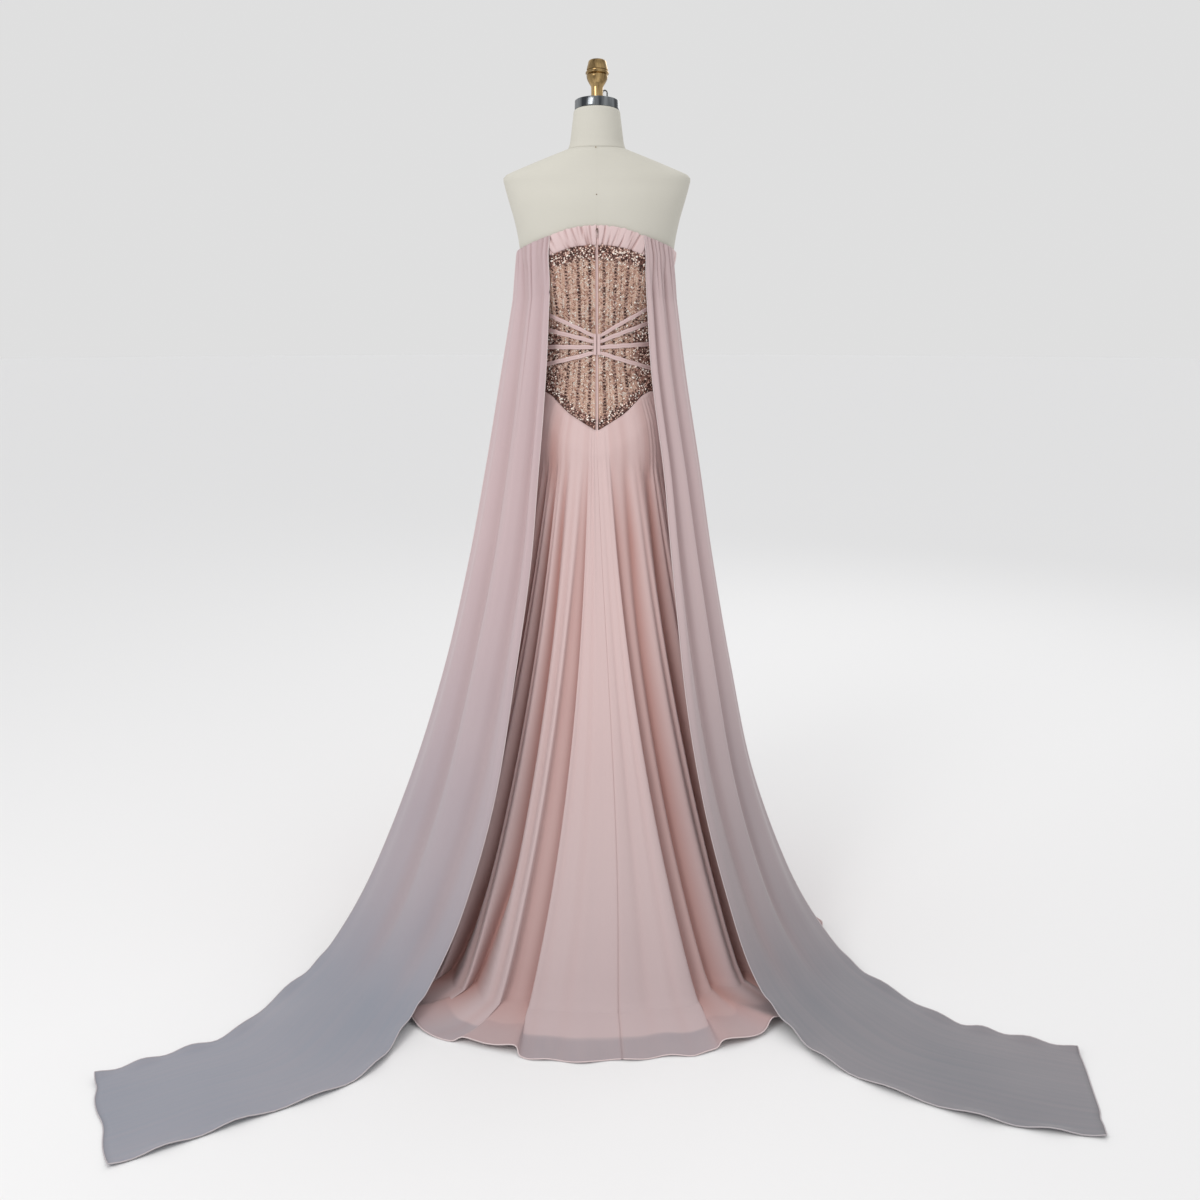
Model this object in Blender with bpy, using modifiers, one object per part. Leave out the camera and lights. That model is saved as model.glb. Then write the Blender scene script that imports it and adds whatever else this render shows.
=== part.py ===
# A-line evening gown on a limbless dress form, seen in the photograph from behind.
# Metres, +Z up. The floor is z = 0 and the stand's pole is on the Z axis.
# The wearer faces -Y, so the zip, the straps' join and the train are on the +Y side.
# Angles go round the Z axis in degrees: 0 is centre back (+Y), 90 the wearer's left (+X),
# 180 centre front. Heights and radii are in metres.
import math

import bpy
import bmesh
import numpy as np
from mathutils import Matrix

COLLECTION_NAME = "ALineEveningGown"


def table(columns, rows):
    """A small table of sizes: one array for each named column."""
    return dict(zip(columns.split(), np.array(rows, dtype=float).T))


# Gaps and cloth thicknesses
SEAM_GAP = 0.0003
FORM_CLEARANCE = 0.0008
CLOTH = 0.0016
LINING_CLOTH = 0.0012

# Layers over the form, as distances out from its surface
BODICE_OUT = 0.0024
STRAP_IN = 0.0034
STRAP_OUT = 0.0046
BAND_OUT = 0.0046
LINING_OUT = FORM_CLEARANCE + LINING_CLOTH
SKIRT_OUT = LINING_OUT + 2 * SEAM_GAP + CLOTH
STREAMER_OUT = STRAP_OUT + SEAM_GAP + CLOTH

# Dress form: half width and depths of its sections, and the bust on each side
FORM = table("height side back front", [
    (0.880, 0.150, 0.122, 0.112),
    (0.930, 0.153, 0.127, 0.112),
    (0.980, 0.151, 0.124, 0.110),
    (1.040, 0.143, 0.111, 0.104),
    (1.100, 0.130, 0.098, 0.098),
    (1.175, 0.118, 0.088, 0.092),
    (1.240, 0.124, 0.092, 0.098),
    (1.300, 0.140, 0.097, 0.104),
    (1.340, 0.150, 0.100, 0.106),
    (1.377, 0.155, 0.100, 0.102),
    (1.415, 0.163, 0.098, 0.093),
    (1.453, 0.174, 0.090, 0.080),
    (1.485, 0.1825, 0.078, 0.066),
    (1.497, 0.176, 0.073, 0.061),
    (1.509, 0.153, 0.069, 0.058),
    (1.528, 0.1055, 0.062, 0.054),
    (1.546, 0.057, 0.057, 0.053),
])
FORM_ROUNDNESS = 2.3
FORM_COLUMNS = 40
FORM_ROWS = 23
BUST_RISE = 0.026
BUST_EASE = 0.004
BUST_ANGLE = 148.0
BUST_WIDTH = 21.0
BUST_HEIGHT = 1.300
BUST_SPREAD = 0.055

NECK = table("height radius", [
    (1.5463, 0.0565),
    (1.556, 0.0530),
    (1.570, 0.0508),
    (1.590, 0.0485),
    (1.6175, 0.0450),
])
NECK_COLUMNS = 24
CAP_TILT = math.radians(6)
CAP_RADIUS = 0.0428
CAP_HEIGHT = 0.018
FINIAL = table("rise radius", [
    (0.0000, 0.0125),
    (0.0020, 0.0119),
    (0.0268, 0.0117),
    (0.0312, 0.0146),
    (0.0345, 0.0166),
    (0.0389, 0.0190),
    (0.0466, 0.0207),
    (0.0487, 0.0205),
    (0.0497, 0.0222),
    (0.0535, 0.0222),
    (0.0548, 0.0204),
    (0.0575, 0.0206),
    (0.0684, 0.0182),
    (0.0735, 0.0165),
    (0.0771, 0.0095),
])
FINIAL_STEPS = 20
LOOP_RADIUS = 0.0045
LOOP_LEG = 0.019
LOOP_WIRE = 0.0015
LOOP_PLACE = (-0.0155, -0.012)

# Stand, hidden inside the skirt
POLE_RADIUS = 0.0125
BASE_RADIUS = 0.170
BASE_HEIGHT = 0.020
BOSS_RADIUS = 0.026
BOSS_HEIGHT = 0.050

# Gown edges, by angle: the neckline's height, and the basque seam under the bodice
NECKLINE = table("angle height", [
    (0, 1.398), (27, 1.393), (45, 1.379), (54, 1.371), (72, 1.357), (90, 1.350),
    (108, 1.352), (126, 1.366), (153, 1.385), (180, 1.380),
])
BAND_HEIGHT = 0.036
BASQUE = table("angle height", [
    (0, 1.011), (27, 1.045), (45, 1.078), (54, 1.086), (63, 1.084), (90, 1.045),
    (117, 1.078), (126, 1.080), (153, 1.045), (180, 1.005),
])
GATHERS = 60
GATHER_COLUMNS = 4
GATHER_DEPTH = 0.0011
BODICE_ROWS = 13
SIDE_ANGLE = 90.0

# Least radii at the centre back and at the side seams, for the gaps left there
BODICE_SEAMS = (0.088, 0.118)
BAND_SEAMS = (0.098, 0.150)

# Straps across the waist: heights at the join and where they pass 55 degrees on each side
STRAPS = table("join left right", [
    (1.1920, 1.234, 1.244),
    (1.1815, 1.203, 1.215),
    (1.1710, 1.171, 1.176),
    (1.1605, 1.138, 1.132),
])
STRAP_WIDTH = 0.0085
STRAP_TABLE_ANGLE = 55.0
STRAP_SIDE_INSET = 0.5
JOIN_NEAR = 0.0031
JOIN_FAR = 0.0095
JOIN_TOP = 1.1965
JOIN_BOTTOM = 1.1560

# Centre-back zip
ZIP_HALF = 0.0025
ZIP_SLOT = ZIP_HALF + SEAM_GAP
ZIP_OUT = 0.0030
ZIP_BOTTOM = 0.9815
ZIP_STEP = 0.0025
ZIP_DROP = 0.001
SLIDER_HALF = 0.0021
SLIDER_TOP = 1.3925
SLIDER_LENGTH = 0.0100
SLIDER_THICK = 0.0028
EAR_THICK = 0.0008
EAR_RADIUS = 0.0011
PULL_AXIS_HEIGHT = 1.3880
PULL_AXIS_OUT = ZIP_OUT + SEAM_GAP + SLIDER_THICK + 0.0012
PULL_BARREL_RADIUS = 0.0008
PULL_BARREL_HALF = 0.0010
PULL_LENGTH = 0.0125
PULL_HALF_WIDTH = 0.0018
PULL_THICK = 0.0008

# Skirt: radius where the cloth comes down to the floor, and of the hem that lies on it
HEM = table("angle touch hem", [
    (0, 0.545, 0.684), (15, 0.550, 0.685), (30, 0.535, 0.662), (45, 0.505, 0.610),
    (60, 0.465, 0.545), (75, 0.425, 0.475), (90, 0.400, 0.432), (120, 0.385, 0.403),
    (150, 0.380, 0.394), (180, 0.380, 0.394),
])
TOUCH_HEIGHT = 0.020
FLARE_STRAIGHT = 0.62
FLARE_POWER = 2.5
FOLD_DEPTH = 0.052
FOLD_START = 0.85
HEM_SCALLOP = 0.2
# Each fold's valley: its angle at the seam, half way down and at the hem, its depth
# as a share of FOLD_DEPTH, and its half width in degrees
FOLDS = table("top middle hem depth width", [
    (-172, -171, -171, 0.55, 3.0),
    (-158, -158, -159, 0.70, 3.2),
    (-145, -146, -146, 0.60, 3.0),
    (-131, -131, -132, 0.80, 3.2),
    (-118, -118, -117, 0.60, 3.0),
    (-105, -104, -104, 0.75, 3.2),
    (-82, -81, -80, 0.70, 3.0),
    (-70, -69, -67, 0.80, 3.2),
    (-57, -55, -52, 0.75, 3.0),
    (-42, -37, -32.5, 1.00, 2.6),
    (-22, -23, -25.5, 0.85, 2.2),
    (-9, -14.5, -19.0, 0.75, 2.2),
    (9, 10.5, 12.0, 0.55, 2.2),
    (20, 21.5, 19.5, 0.95, 2.4),
    (33, 32, 30, 1.00, 2.4),
    (48, 46, 43, 0.85, 3.0),
    (63, 61, 60, 0.80, 3.2),
    (77, 75, 74, 0.70, 3.0),
    (103, 104, 105, 0.80, 3.2),
    (117, 118, 118, 0.60, 3.0),
    (130, 131, 131, 0.75, 3.2),
    (144, 145, 146, 0.65, 3.0),
    (158, 158, 158, 0.75, 3.2),
    (171, 172, 172, 0.50, 3.0),
])
SEAM_LINE = (0.0, -5.0, -4.0)
FOLD_COLUMNS = (-1.5, -0.5, 0.5, 1.5)
EDGE_CLEAR = 0.8
SKIRT_ROWS = (0.0, 0.030, 0.12, 0.25, 0.40, 0.55, 0.70, 0.84, 0.94, 1.0, 2.0)
LINING_SHARE = 0.75
LINING_HEM = 0.062
LINING_COLUMNS = 40
LINING_ROWS = 8
LINING_ROW_POWER = 1.6
LINING_EASE = 0.004
SKIRT_EASE = 0.0075
EASE_DROP = 0.05

# Streamers: the inner and outer edges at stations down the panel, and how deep it ripples.
# The first station is the band's lower edge; the last ones lie on the floor.
STREAMER_LEFT = table("inner_x inner_y inner_z outer_x outer_y outer_z ripple", [
    (0.090, 0.084, 1.270, 0.165, 0.022, 1.262, 0.004),
    (0.098, 0.112, 1.120, 0.192, 0.036, 1.112, 0.006),
    (0.111, 0.150, 0.950, 0.221, 0.058, 0.945, 0.008),
    (0.126, 0.212, 0.760, 0.258, 0.088, 0.750, 0.010),
    (0.156, 0.296, 0.540, 0.306, 0.130, 0.545, 0.011),
    (0.187, 0.374, 0.350, 0.366, 0.190, 0.350, 0.011),
    (0.240, 0.452, 0.170, 0.438, 0.266, 0.170, 0.009),
    (0.290, 0.510, 0.065, 0.502, 0.340, 0.060, 0.006),
    (0.328, 0.588, 0.022, 0.556, 0.424, 0.014, 0.002),
    (0.385, 0.728, 0.004, 0.634, 0.594, 0.002, 0.000),
    (0.560, 0.856, 0.002, 0.732, 0.668, 0.002, 0.000),
    (0.722, 0.958, 0.002, 0.828, 0.734, 0.002, 0.000),
])
STREAMER_RIGHT = table("inner_x inner_y inner_z outer_x outer_y outer_z ripple", [
    (0.095, 0.084, 1.270, 0.156, 0.024, 1.262, 0.004),
    (0.106, 0.112, 1.120, 0.177, 0.040, 1.112, 0.006),
    (0.128, 0.146, 0.950, 0.204, 0.062, 0.945, 0.008),
    (0.145, 0.204, 0.760, 0.233, 0.092, 0.750, 0.010),
    (0.166, 0.286, 0.540, 0.269, 0.134, 0.545, 0.011),
    (0.196, 0.364, 0.350, 0.309, 0.196, 0.350, 0.011),
    (0.243, 0.436, 0.170, 0.376, 0.272, 0.170, 0.009),
    (0.282, 0.500, 0.065, 0.447, 0.342, 0.060, 0.006),
    (0.324, 0.585, 0.022, 0.512, 0.422, 0.014, 0.002),
    (0.404, 0.708, 0.004, 0.620, 0.552, 0.002, 0.000),
    (0.600, 0.842, 0.002, 0.714, 0.604, 0.002, 0.000),
    (0.782, 0.890, 0.002, 0.822, 0.658, 0.002, 0.000),
])
STREAMER_FROM = 44.0
STREAMER_TO = 86.0
STREAMER_RIPPLES = 3.5
STREAMER_COLUMNS = 15
STREAMER_ROWS = 20
FLOOR_FROM = 0.010

# Finishes: colour, roughness, metallic
FINISHES = {
    "canvas": ((0.66, 0.63, 0.55), 0.90, 0.0),
    "brass": ((0.55, 0.38, 0.16), 0.32, 1.0),
    "chrome": ((0.60, 0.61, 0.63), 0.12, 1.0),
    "stand": ((0.10, 0.10, 0.11), 0.45, 0.6),
    "beading": ((0.60, 0.38, 0.28), 0.40, 0.2),
    "chiffon": ((0.62, 0.46, 0.46), 0.80, 0.0),
    "streamer": ((0.58, 0.47, 0.49), 0.80, 0.0),
    "lining": ((0.55, 0.41, 0.41), 0.70, 0.0),
    "zip": ((0.62, 0.40, 0.38), 0.60, 0.0),
    "slider": ((0.30, 0.24, 0.22), 0.35, 0.9),
}


def clear_scene():
    """Start from an empty file."""
    for item in list(bpy.data.objects):
        bpy.data.objects.remove(item, do_unlink=True)


def make_collection():
    """One collection holds the whole object."""
    collection = bpy.data.collections.new(COLLECTION_NAME)
    bpy.context.scene.collection.children.link(collection)
    return collection


def finish_of(name, finish):
    """A Principled material of the piece's own, with the finish's colour and gloss."""
    colour, roughness, metallic = FINISHES[finish]
    material = bpy.data.materials.new(name + "_" + finish)
    material.use_nodes = True
    shader = material.node_tree.nodes["Principled BSDF"]
    shader.inputs["Base Color"].default_value = (*colour, 1.0)
    shader.inputs["Roughness"].default_value = roughness
    shader.inputs["Metallic"].default_value = metallic
    material.diffuse_color = (*colour, 1.0)
    return material


def add_mesh(collection, name, mesh, finish):
    """Put a mesh in the collection as a named, smooth-shaded object."""
    piece = bpy.data.objects.new(name, mesh)
    collection.objects.link(piece)
    mesh.materials.append(finish_of(name, finish))
    mesh.shade_smooth()
    mesh.set_sharp_from_angle(angle=math.radians(40))
    return piece


def smooth_table(x, xs, ys):
    """The table's values at x, on a cubic curve through its rows."""
    slopes = np.gradient(ys, xs)
    x = np.clip(x, xs[0], xs[-1])
    low = np.clip(np.searchsorted(xs, x) - 1, 0, len(xs) - 2)
    step = xs[low + 1] - xs[low]
    k = (x - xs[low]) / step
    start = ys[low] * (1 + 2 * k) * (1 - k) ** 2 + slopes[low] * step * k * (1 - k) ** 2
    end = ys[low + 1] * k * k * (3 - 2 * k) + slopes[low + 1] * step * k * k * (k - 1)
    return start + end


def polar(angle, radius, height):
    """Points from an angle in degrees, a radius and a height."""
    turn = np.radians(angle)
    parts = np.broadcast_arrays(radius * np.sin(turn), radius * np.cos(turn), height)
    return np.stack(parts, axis=-1)


def bump(distance):
    """A soft bell of height 1 at distance 0."""
    return np.exp(-distance ** 2)


def form_radius(angle, height, ease=0.0):
    """The form's radius: a rounded section of the form's table, with the bust added."""
    turn = np.radians(angle)
    side = smooth_table(height, FORM["height"], FORM["side"])
    back = smooth_table(height, FORM["height"], FORM["back"])
    front = smooth_table(height, FORM["height"], FORM["front"])
    depth = np.where(np.cos(turn) > 0, back, front)
    across = (np.abs(np.sin(turn)) / side) ** FORM_ROUNDNESS
    along = (np.abs(np.cos(turn)) / depth) ** FORM_ROUNDNESS
    radius = (across + along) ** (-1 / FORM_ROUNDNESS)
    round_angle = np.abs((angle + 180.0) % 360.0 - 180.0)
    bust = bump((round_angle - BUST_ANGLE) / BUST_WIDTH) * bump((height - BUST_HEIGHT) / BUST_SPREAD)
    return radius + (BUST_RISE + ease) * bust


def gown_radius(angle, height, out):
    """A layer of the bodice: the form's radius with ease over the bust, moved out."""
    return form_radius(angle, height, BUST_EASE) + out


def edge_height(edge, angle):
    """The height of the neckline or the basque seam at an angle."""
    round_angle = np.abs((angle + 180.0) % 360.0 - 180.0)
    return np.interp(round_angle, edge["angle"], edge["height"])


def solid_mesh(name, rings):
    """A closed solid lofted through rings of points, from the top one to the bottom one."""
    rows, columns, _ = rings.shape
    index = np.arange(rows * columns).reshape(rows, columns)
    right = np.roll(index, -1, axis=1)
    sides = np.stack([index[:-1], right[:-1], right[1:], index[1:]], axis=-1).reshape(-1, 4)
    faces = sides.tolist() + [index[0, ::-1].tolist(), index[-1].tolist()]
    mesh = bpy.data.meshes.new(name)
    mesh.from_pydata(rings.reshape(-1, 3).tolist(), [], faces)
    return mesh


def wall_mesh(name, outer, inner, closed=False):
    """A closed wall of cloth between an outer and an inner grid, rows going down."""
    rows, columns, _ = outer.shape
    out = np.arange(rows * columns).reshape(rows, columns)
    back = out + rows * columns
    if closed:
        out = np.hstack([out, out[:, :1]])
        back = np.hstack([back, back[:, :1]])
    quads = [
        np.stack([out[:-1, :-1], out[:-1, 1:], out[1:, 1:], out[1:, :-1]], axis=-1),
        np.stack([back[:-1, :-1], back[1:, :-1], back[1:, 1:], back[:-1, 1:]], axis=-1),
        np.stack([out[0, :-1], back[0, :-1], back[0, 1:], out[0, 1:]], axis=-1),
        np.stack([out[-1, :-1], out[-1, 1:], back[-1, 1:], back[-1, :-1]], axis=-1),
    ]
    if not closed:
        quads.append(np.stack([out[:-1, 0], out[1:, 0], back[1:, 0], back[:-1, 0]], axis=-1))
        quads.append(np.stack([out[:-1, -1], back[:-1, -1], back[1:, -1], out[1:, -1]], axis=-1))
    faces = np.concatenate([quad.reshape(-1, 4) for quad in quads]).tolist()
    points = np.concatenate([outer.reshape(-1, 3), inner.reshape(-1, 3)]).tolist()
    mesh = bpy.data.meshes.new(name)
    mesh.from_pydata(points, [], faces)
    return mesh


def make_torso(collection):
    """The canvas torso, from its flat underside up to the neck's seam."""
    heights = np.linspace(FORM["height"][-1], FORM["height"][0], FORM_ROWS)[:, None]
    shoulder = FORM["height"][-6:-1]
    heights = np.sort(np.unique(np.append(heights.ravel(), shoulder)))[::-1][:, None]
    angles = np.arange(FORM_COLUMNS) * 360.0 / FORM_COLUMNS
    rings = polar(angles[None, :], form_radius(angles[None, :], heights), heights)
    add_mesh(collection, "form_torso", solid_mesh("form_torso", rings), "canvas")


def make_neck(collection):
    """The canvas neck, whose top is cut at the cap's tilt."""
    angles = np.arange(NECK_COLUMNS) * 360.0 / NECK_COLUMNS
    base = NECK["height"][0]
    share = (NECK["height"] - base) / (NECK["height"][-1] - base)
    radius = NECK["radius"][::-1, None] * np.ones_like(angles)[None, :]
    rise = np.tan(CAP_TILT) * radius * np.cos(np.radians(angles))[None, :]
    heights = NECK["height"][::-1, None] + share[::-1, None] * rise
    rings = polar(angles[None, :], radius, heights)
    add_mesh(collection, "form_neck", solid_mesh("form_neck", rings), "canvas")


def turned_piece(collection, name, heights, radii, steps, finish):
    """A turned piece: a profile from the top of the axis down, swept by a Screw modifier."""
    profile = [(0.0, 0.0, heights[-1])]
    profile += [(r, 0.0, h) for h, r in zip(heights[::-1], radii[::-1])]
    profile.append((0.0, 0.0, heights[0]))
    mesh = bpy.data.meshes.new(name)
    mesh.from_pydata(profile, [(i, i + 1) for i in range(len(profile) - 1)], [])
    piece = add_mesh(collection, name, mesh, finish)
    screw = piece.modifiers.new("Turn", "SCREW")
    screw.steps = steps
    screw.render_steps = steps
    screw.use_merge_vertices = True
    screw.merge_threshold = 0.00005
    return piece


def make_cap_and_finial(collection):
    """The chrome cap, the brass finial and a wire loop, tilted together with the neck's top."""
    neck_top = NECK["height"][-1] + SEAM_GAP
    bevel = 0.0015
    cap_heights = [0.0, CAP_HEIGHT - bevel, CAP_HEIGHT]
    cap_radii = [CAP_RADIUS, CAP_RADIUS, CAP_RADIUS - bevel]
    cap = turned_piece(collection, "neck_cap", cap_heights, cap_radii, 32, "chrome")
    finial = turned_piece(collection, "finial", FINIAL["rise"], FINIAL["radius"], FINIAL_STEPS, "brass")
    cap.location = (0.0, 0.0, neck_top)
    cap.rotation_euler = (CAP_TILT, 0.0, 0.0)
    finial.location = (0.0, 0.0, CAP_HEIGHT + SEAM_GAP)
    finial.parent = cap
    loop = make_cap_loop(collection)
    loop.location = (*LOOP_PLACE, CAP_HEIGHT + SEAM_GAP)
    loop.parent = cap


def make_cap_loop(collection):
    """A small wire arch that stands on the cap beside the finial."""
    curve = bpy.data.curves.new("cap_loop", "CURVE")
    curve.dimensions = "3D"
    curve.bevel_depth = LOOP_WIRE
    curve.bevel_resolution = 2
    curve.use_fill_caps = True
    legs = [(LOOP_RADIUS, 0.0), (LOOP_RADIUS, LOOP_LEG - 0.001)]
    arch = [(LOOP_RADIUS * math.cos(a), LOOP_LEG + LOOP_RADIUS * math.sin(a))
            for a in np.radians(np.linspace(0, 180, 9))]
    points = legs + arch + [(-x, z) for x, z in reversed(legs)]
    spline = curve.splines.new("POLY")
    spline.points.add(len(points) - 1)
    for target, (x, z) in zip(spline.points, points):
        target.co = (x, 0.0, z, 1.0)
    loop = bpy.data.objects.new("cap_loop", curve)
    collection.objects.link(loop)
    curve.materials.append(finish_of("cap_loop", "chrome"))
    return loop


def make_stand(collection):
    """A plain pole on a round base with a boss, standing on the floor."""
    heights = [0.0, BASE_HEIGHT - 0.004, BASE_HEIGHT, BASE_HEIGHT, BOSS_HEIGHT]
    radii = [BASE_RADIUS, BASE_RADIUS, BASE_RADIUS - 0.006, BOSS_RADIUS, BOSS_RADIUS]
    turned_piece(collection, "stand_base", heights, radii, 32, "stand")
    bottom = BOSS_HEIGHT + SEAM_GAP
    top = FORM["height"][0] - SEAM_GAP
    bpy.ops.mesh.primitive_cylinder_add(vertices=24, radius=POLE_RADIUS, depth=top - bottom)
    pole = bpy.context.object
    pole.name = "stand_pole"
    pole.data.name = "stand_pole"
    for holder in list(pole.users_collection):
        holder.objects.unlink(pole)
    collection.objects.link(pole)
    pole.data.materials.append(finish_of("stand_pole", "stand"))
    pole.data.transform(Matrix.Translation((0.0, 0.0, (top + bottom) / 2)))


def seam_inset(radius, gap=SEAM_GAP / 2):
    """The angle that a distance along the cloth takes at a radius."""
    return np.degrees(gap / radius)


def panel_edges(start, end, seams):
    """A panel's two edge angles, inset for a side seam or for the zip's slot."""
    slot = seam_inset(seams[0], ZIP_SLOT)
    side = seam_inset(seams[1])
    return start + (slot if start == 0 else side), end - (slot if end == 0 else side)


PANELS = (
    ("back_right", -SIDE_ANGLE, 0.0),
    ("back_left", 0.0, SIDE_ANGLE),
    ("front", SIDE_ANGLE, 360.0 - SIDE_ANGLE),
)


def band_top(angle):
    """The neckline's height."""
    return edge_height(NECKLINE, angle)


def make_band(collection, label, start, end):
    """A gathered band round the neckline: its outer points ripple over a plain inside."""
    columns = int(round((end - start) / 360.0 * GATHERS * GATHER_COLUMNS)) + 1
    grain = np.linspace(start, end, columns)
    angles = np.clip(grain, *panel_edges(start, end, BAND_SEAMS))
    top = band_top(angles)
    heights = top[None, :] - BAND_HEIGHT * np.array([[0.0], [1.0]])
    ripple = GATHER_DEPTH * np.cos(np.radians(grain * GATHERS))[None, :]
    outer = polar(angles[None, :], gown_radius(angles, heights, BAND_OUT) + ripple, heights)
    inner = polar(angles[None, :], gown_radius(angles, heights, FORM_CLEARANCE), heights)
    name = "band_" + label
    add_mesh(collection, name, wall_mesh(name, outer, inner), "chiffon")


def make_bodice(collection, label, start, end):
    """A bodice panel from the band down to the basque seam."""
    columns = int(round((end - start) / 360.0 * FORM_COLUMNS)) + 1
    angles = np.clip(np.linspace(start, end, columns), *panel_edges(start, end, BODICE_SEAMS))
    top = band_top(angles) - BAND_HEIGHT - SEAM_GAP
    bottom = edge_height(BASQUE, angles)
    share = np.linspace(0.0, 1.0, BODICE_ROWS)[:, None]
    heights = top + (bottom - top) * share
    outer = polar(angles[None, :], gown_radius(angles, heights, BODICE_OUT), heights)
    inner = polar(angles[None, :], gown_radius(angles, heights, FORM_CLEARANCE), heights)
    name = "bodice_" + label
    add_mesh(collection, name, wall_mesh(name, outer, inner), "beading")


def strap_grid(angles, middle, out):
    """Two rows of points for a strap whose middle height is given at each angle."""
    heights = np.stack([middle + STRAP_WIDTH / 2, middle - STRAP_WIDTH / 2])
    return polar(angles[None, :], gown_radius(angles[None, :], heights, out), heights)


def make_strap(collection, side, number, join, passing):
    """A narrow chiffon strap from the centre join round to the side seam."""
    near = seam_inset(BODICE_SEAMS[0], JOIN_FAR + SEAM_GAP)
    panel_step = 360.0 / FORM_COLUMNS
    angles = np.arange(panel_step, SIDE_ANGLE, panel_step)
    angles = np.concatenate([[near], angles, [SIDE_ANGLE - STRAP_SIDE_INSET]])
    slope = (passing - join) / (STRAP_TABLE_ANGLE - near)
    middle = join + slope * (angles - near)
    if side == "right":
        angles = -angles[::-1]
        middle = middle[::-1]
    name = "strap_%s_%d" % (side, number)
    outer = strap_grid(angles, middle, STRAP_OUT)
    inner = strap_grid(angles, middle, STRAP_IN)
    add_mesh(collection, name, wall_mesh(name, outer, inner), "chiffon")


def make_join(collection, side):
    """The short upright strip where one side's straps end beside the zip."""
    angles = seam_inset(BODICE_SEAMS[0], np.array([JOIN_NEAR, JOIN_FAR]))
    if side == "right":
        angles = -angles[::-1]
    heights = np.linspace(JOIN_TOP, JOIN_BOTTOM, 4)[:, None]
    outer = polar(angles[None, :], gown_radius(angles, heights, STRAP_OUT), heights)
    inner = polar(angles[None, :], gown_radius(angles, heights, STRAP_IN), heights)
    name = "strap_join_" + side
    add_mesh(collection, name, wall_mesh(name, outer, inner), "chiffon")


def make_zip(collection):
    """The closed zip: a narrow strip down the centre back."""
    seam = float(edge_height(BASQUE, 0.0))
    on_bodice = np.linspace(band_top(0.0) - ZIP_DROP, seam + ZIP_STEP + 2 * SEAM_GAP, 17)
    on_skirt = np.linspace(seam + ZIP_STEP, ZIP_BOTTOM + SEAM_GAP, 4)
    heights = np.concatenate([on_bodice, on_skirt])
    outer_radius = np.concatenate([
        gown_radius(0.0, on_bodice, ZIP_OUT),
        hip_radius(0.0, seam, on_skirt, SKIRT_OUT, SKIRT_EASE),
    ])
    inner_radius = np.concatenate([
        gown_radius(0.0, on_bodice, FORM_CLEARANCE),
        hip_radius(0.0, seam, on_skirt, SKIRT_OUT - CLOTH, SKIRT_EASE),
    ])
    across = np.array([-ZIP_HALF, ZIP_HALF])
    outer = np.stack(np.broadcast_arrays(across, outer_radius[:, None], heights[:, None]), axis=-1)
    inner = np.stack(np.broadcast_arrays(across, inner_radius[:, None], heights[:, None]), axis=-1)
    add_mesh(collection, "zip_strip", wall_mesh("zip_strip", outer, inner), "zip")


def box_into(mesh, low, high):
    """Add a box to a mesh between two corners."""
    made = bmesh.ops.create_cube(mesh, size=1.0)
    for vertex in made["verts"]:
        for axis in range(3):
            middle = (low[axis] + high[axis]) / 2
            vertex.co[axis] = middle + vertex.co[axis] * (high[axis] - low[axis])


def joined(collection, name, boxes, finish):
    """Boxes that pass into one another, joined into one body by Boolean unions."""
    pieces = []
    for low, high in boxes:
        shape = bmesh.new()
        box_into(shape, low, high)
        mesh = bpy.data.meshes.new(name)
        shape.to_mesh(mesh)
        shape.free()
        pieces.append(bpy.data.objects.new(name + "_blank", mesh))
        bpy.context.scene.collection.objects.link(pieces[-1])
    for other in pieces[1:]:
        union = pieces[0].modifiers.new("Join", "BOOLEAN")
        union.operation = "UNION"
        union.object = other
    bpy.context.view_layer.update()
    evaluated = pieces[0].evaluated_get(bpy.context.evaluated_depsgraph_get())
    mesh = bpy.data.meshes.new_from_object(evaluated)
    mesh.name = name
    for piece in pieces:
        bpy.data.objects.remove(piece, do_unlink=True)
    return add_mesh(collection, name, mesh, finish)


def make_slider(collection):
    """The zip's slider, with two ears that hold the pull."""
    face = float(gown_radius(0.0, PULL_AXIS_HEIGHT, ZIP_OUT)) + SEAM_GAP
    front = face + SLIDER_THICK
    axis_y = float(gown_radius(0.0, PULL_AXIS_HEIGHT, PULL_AXIS_OUT))
    ear_in = PULL_BARREL_HALF + SEAM_GAP
    sink = 0.0008
    body = ((-SLIDER_HALF, face, SLIDER_TOP - SLIDER_LENGTH), (SLIDER_HALF, front, SLIDER_TOP))
    ears = [
        ((low, front - sink, PULL_AXIS_HEIGHT - EAR_RADIUS),
         (low + EAR_THICK, axis_y + EAR_RADIUS, PULL_AXIS_HEIGHT + EAR_RADIUS))
        for low in (-ear_in - EAR_THICK, ear_in)
    ]
    joined(collection, "zip_slider", [body] + ears, "slider")


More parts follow.
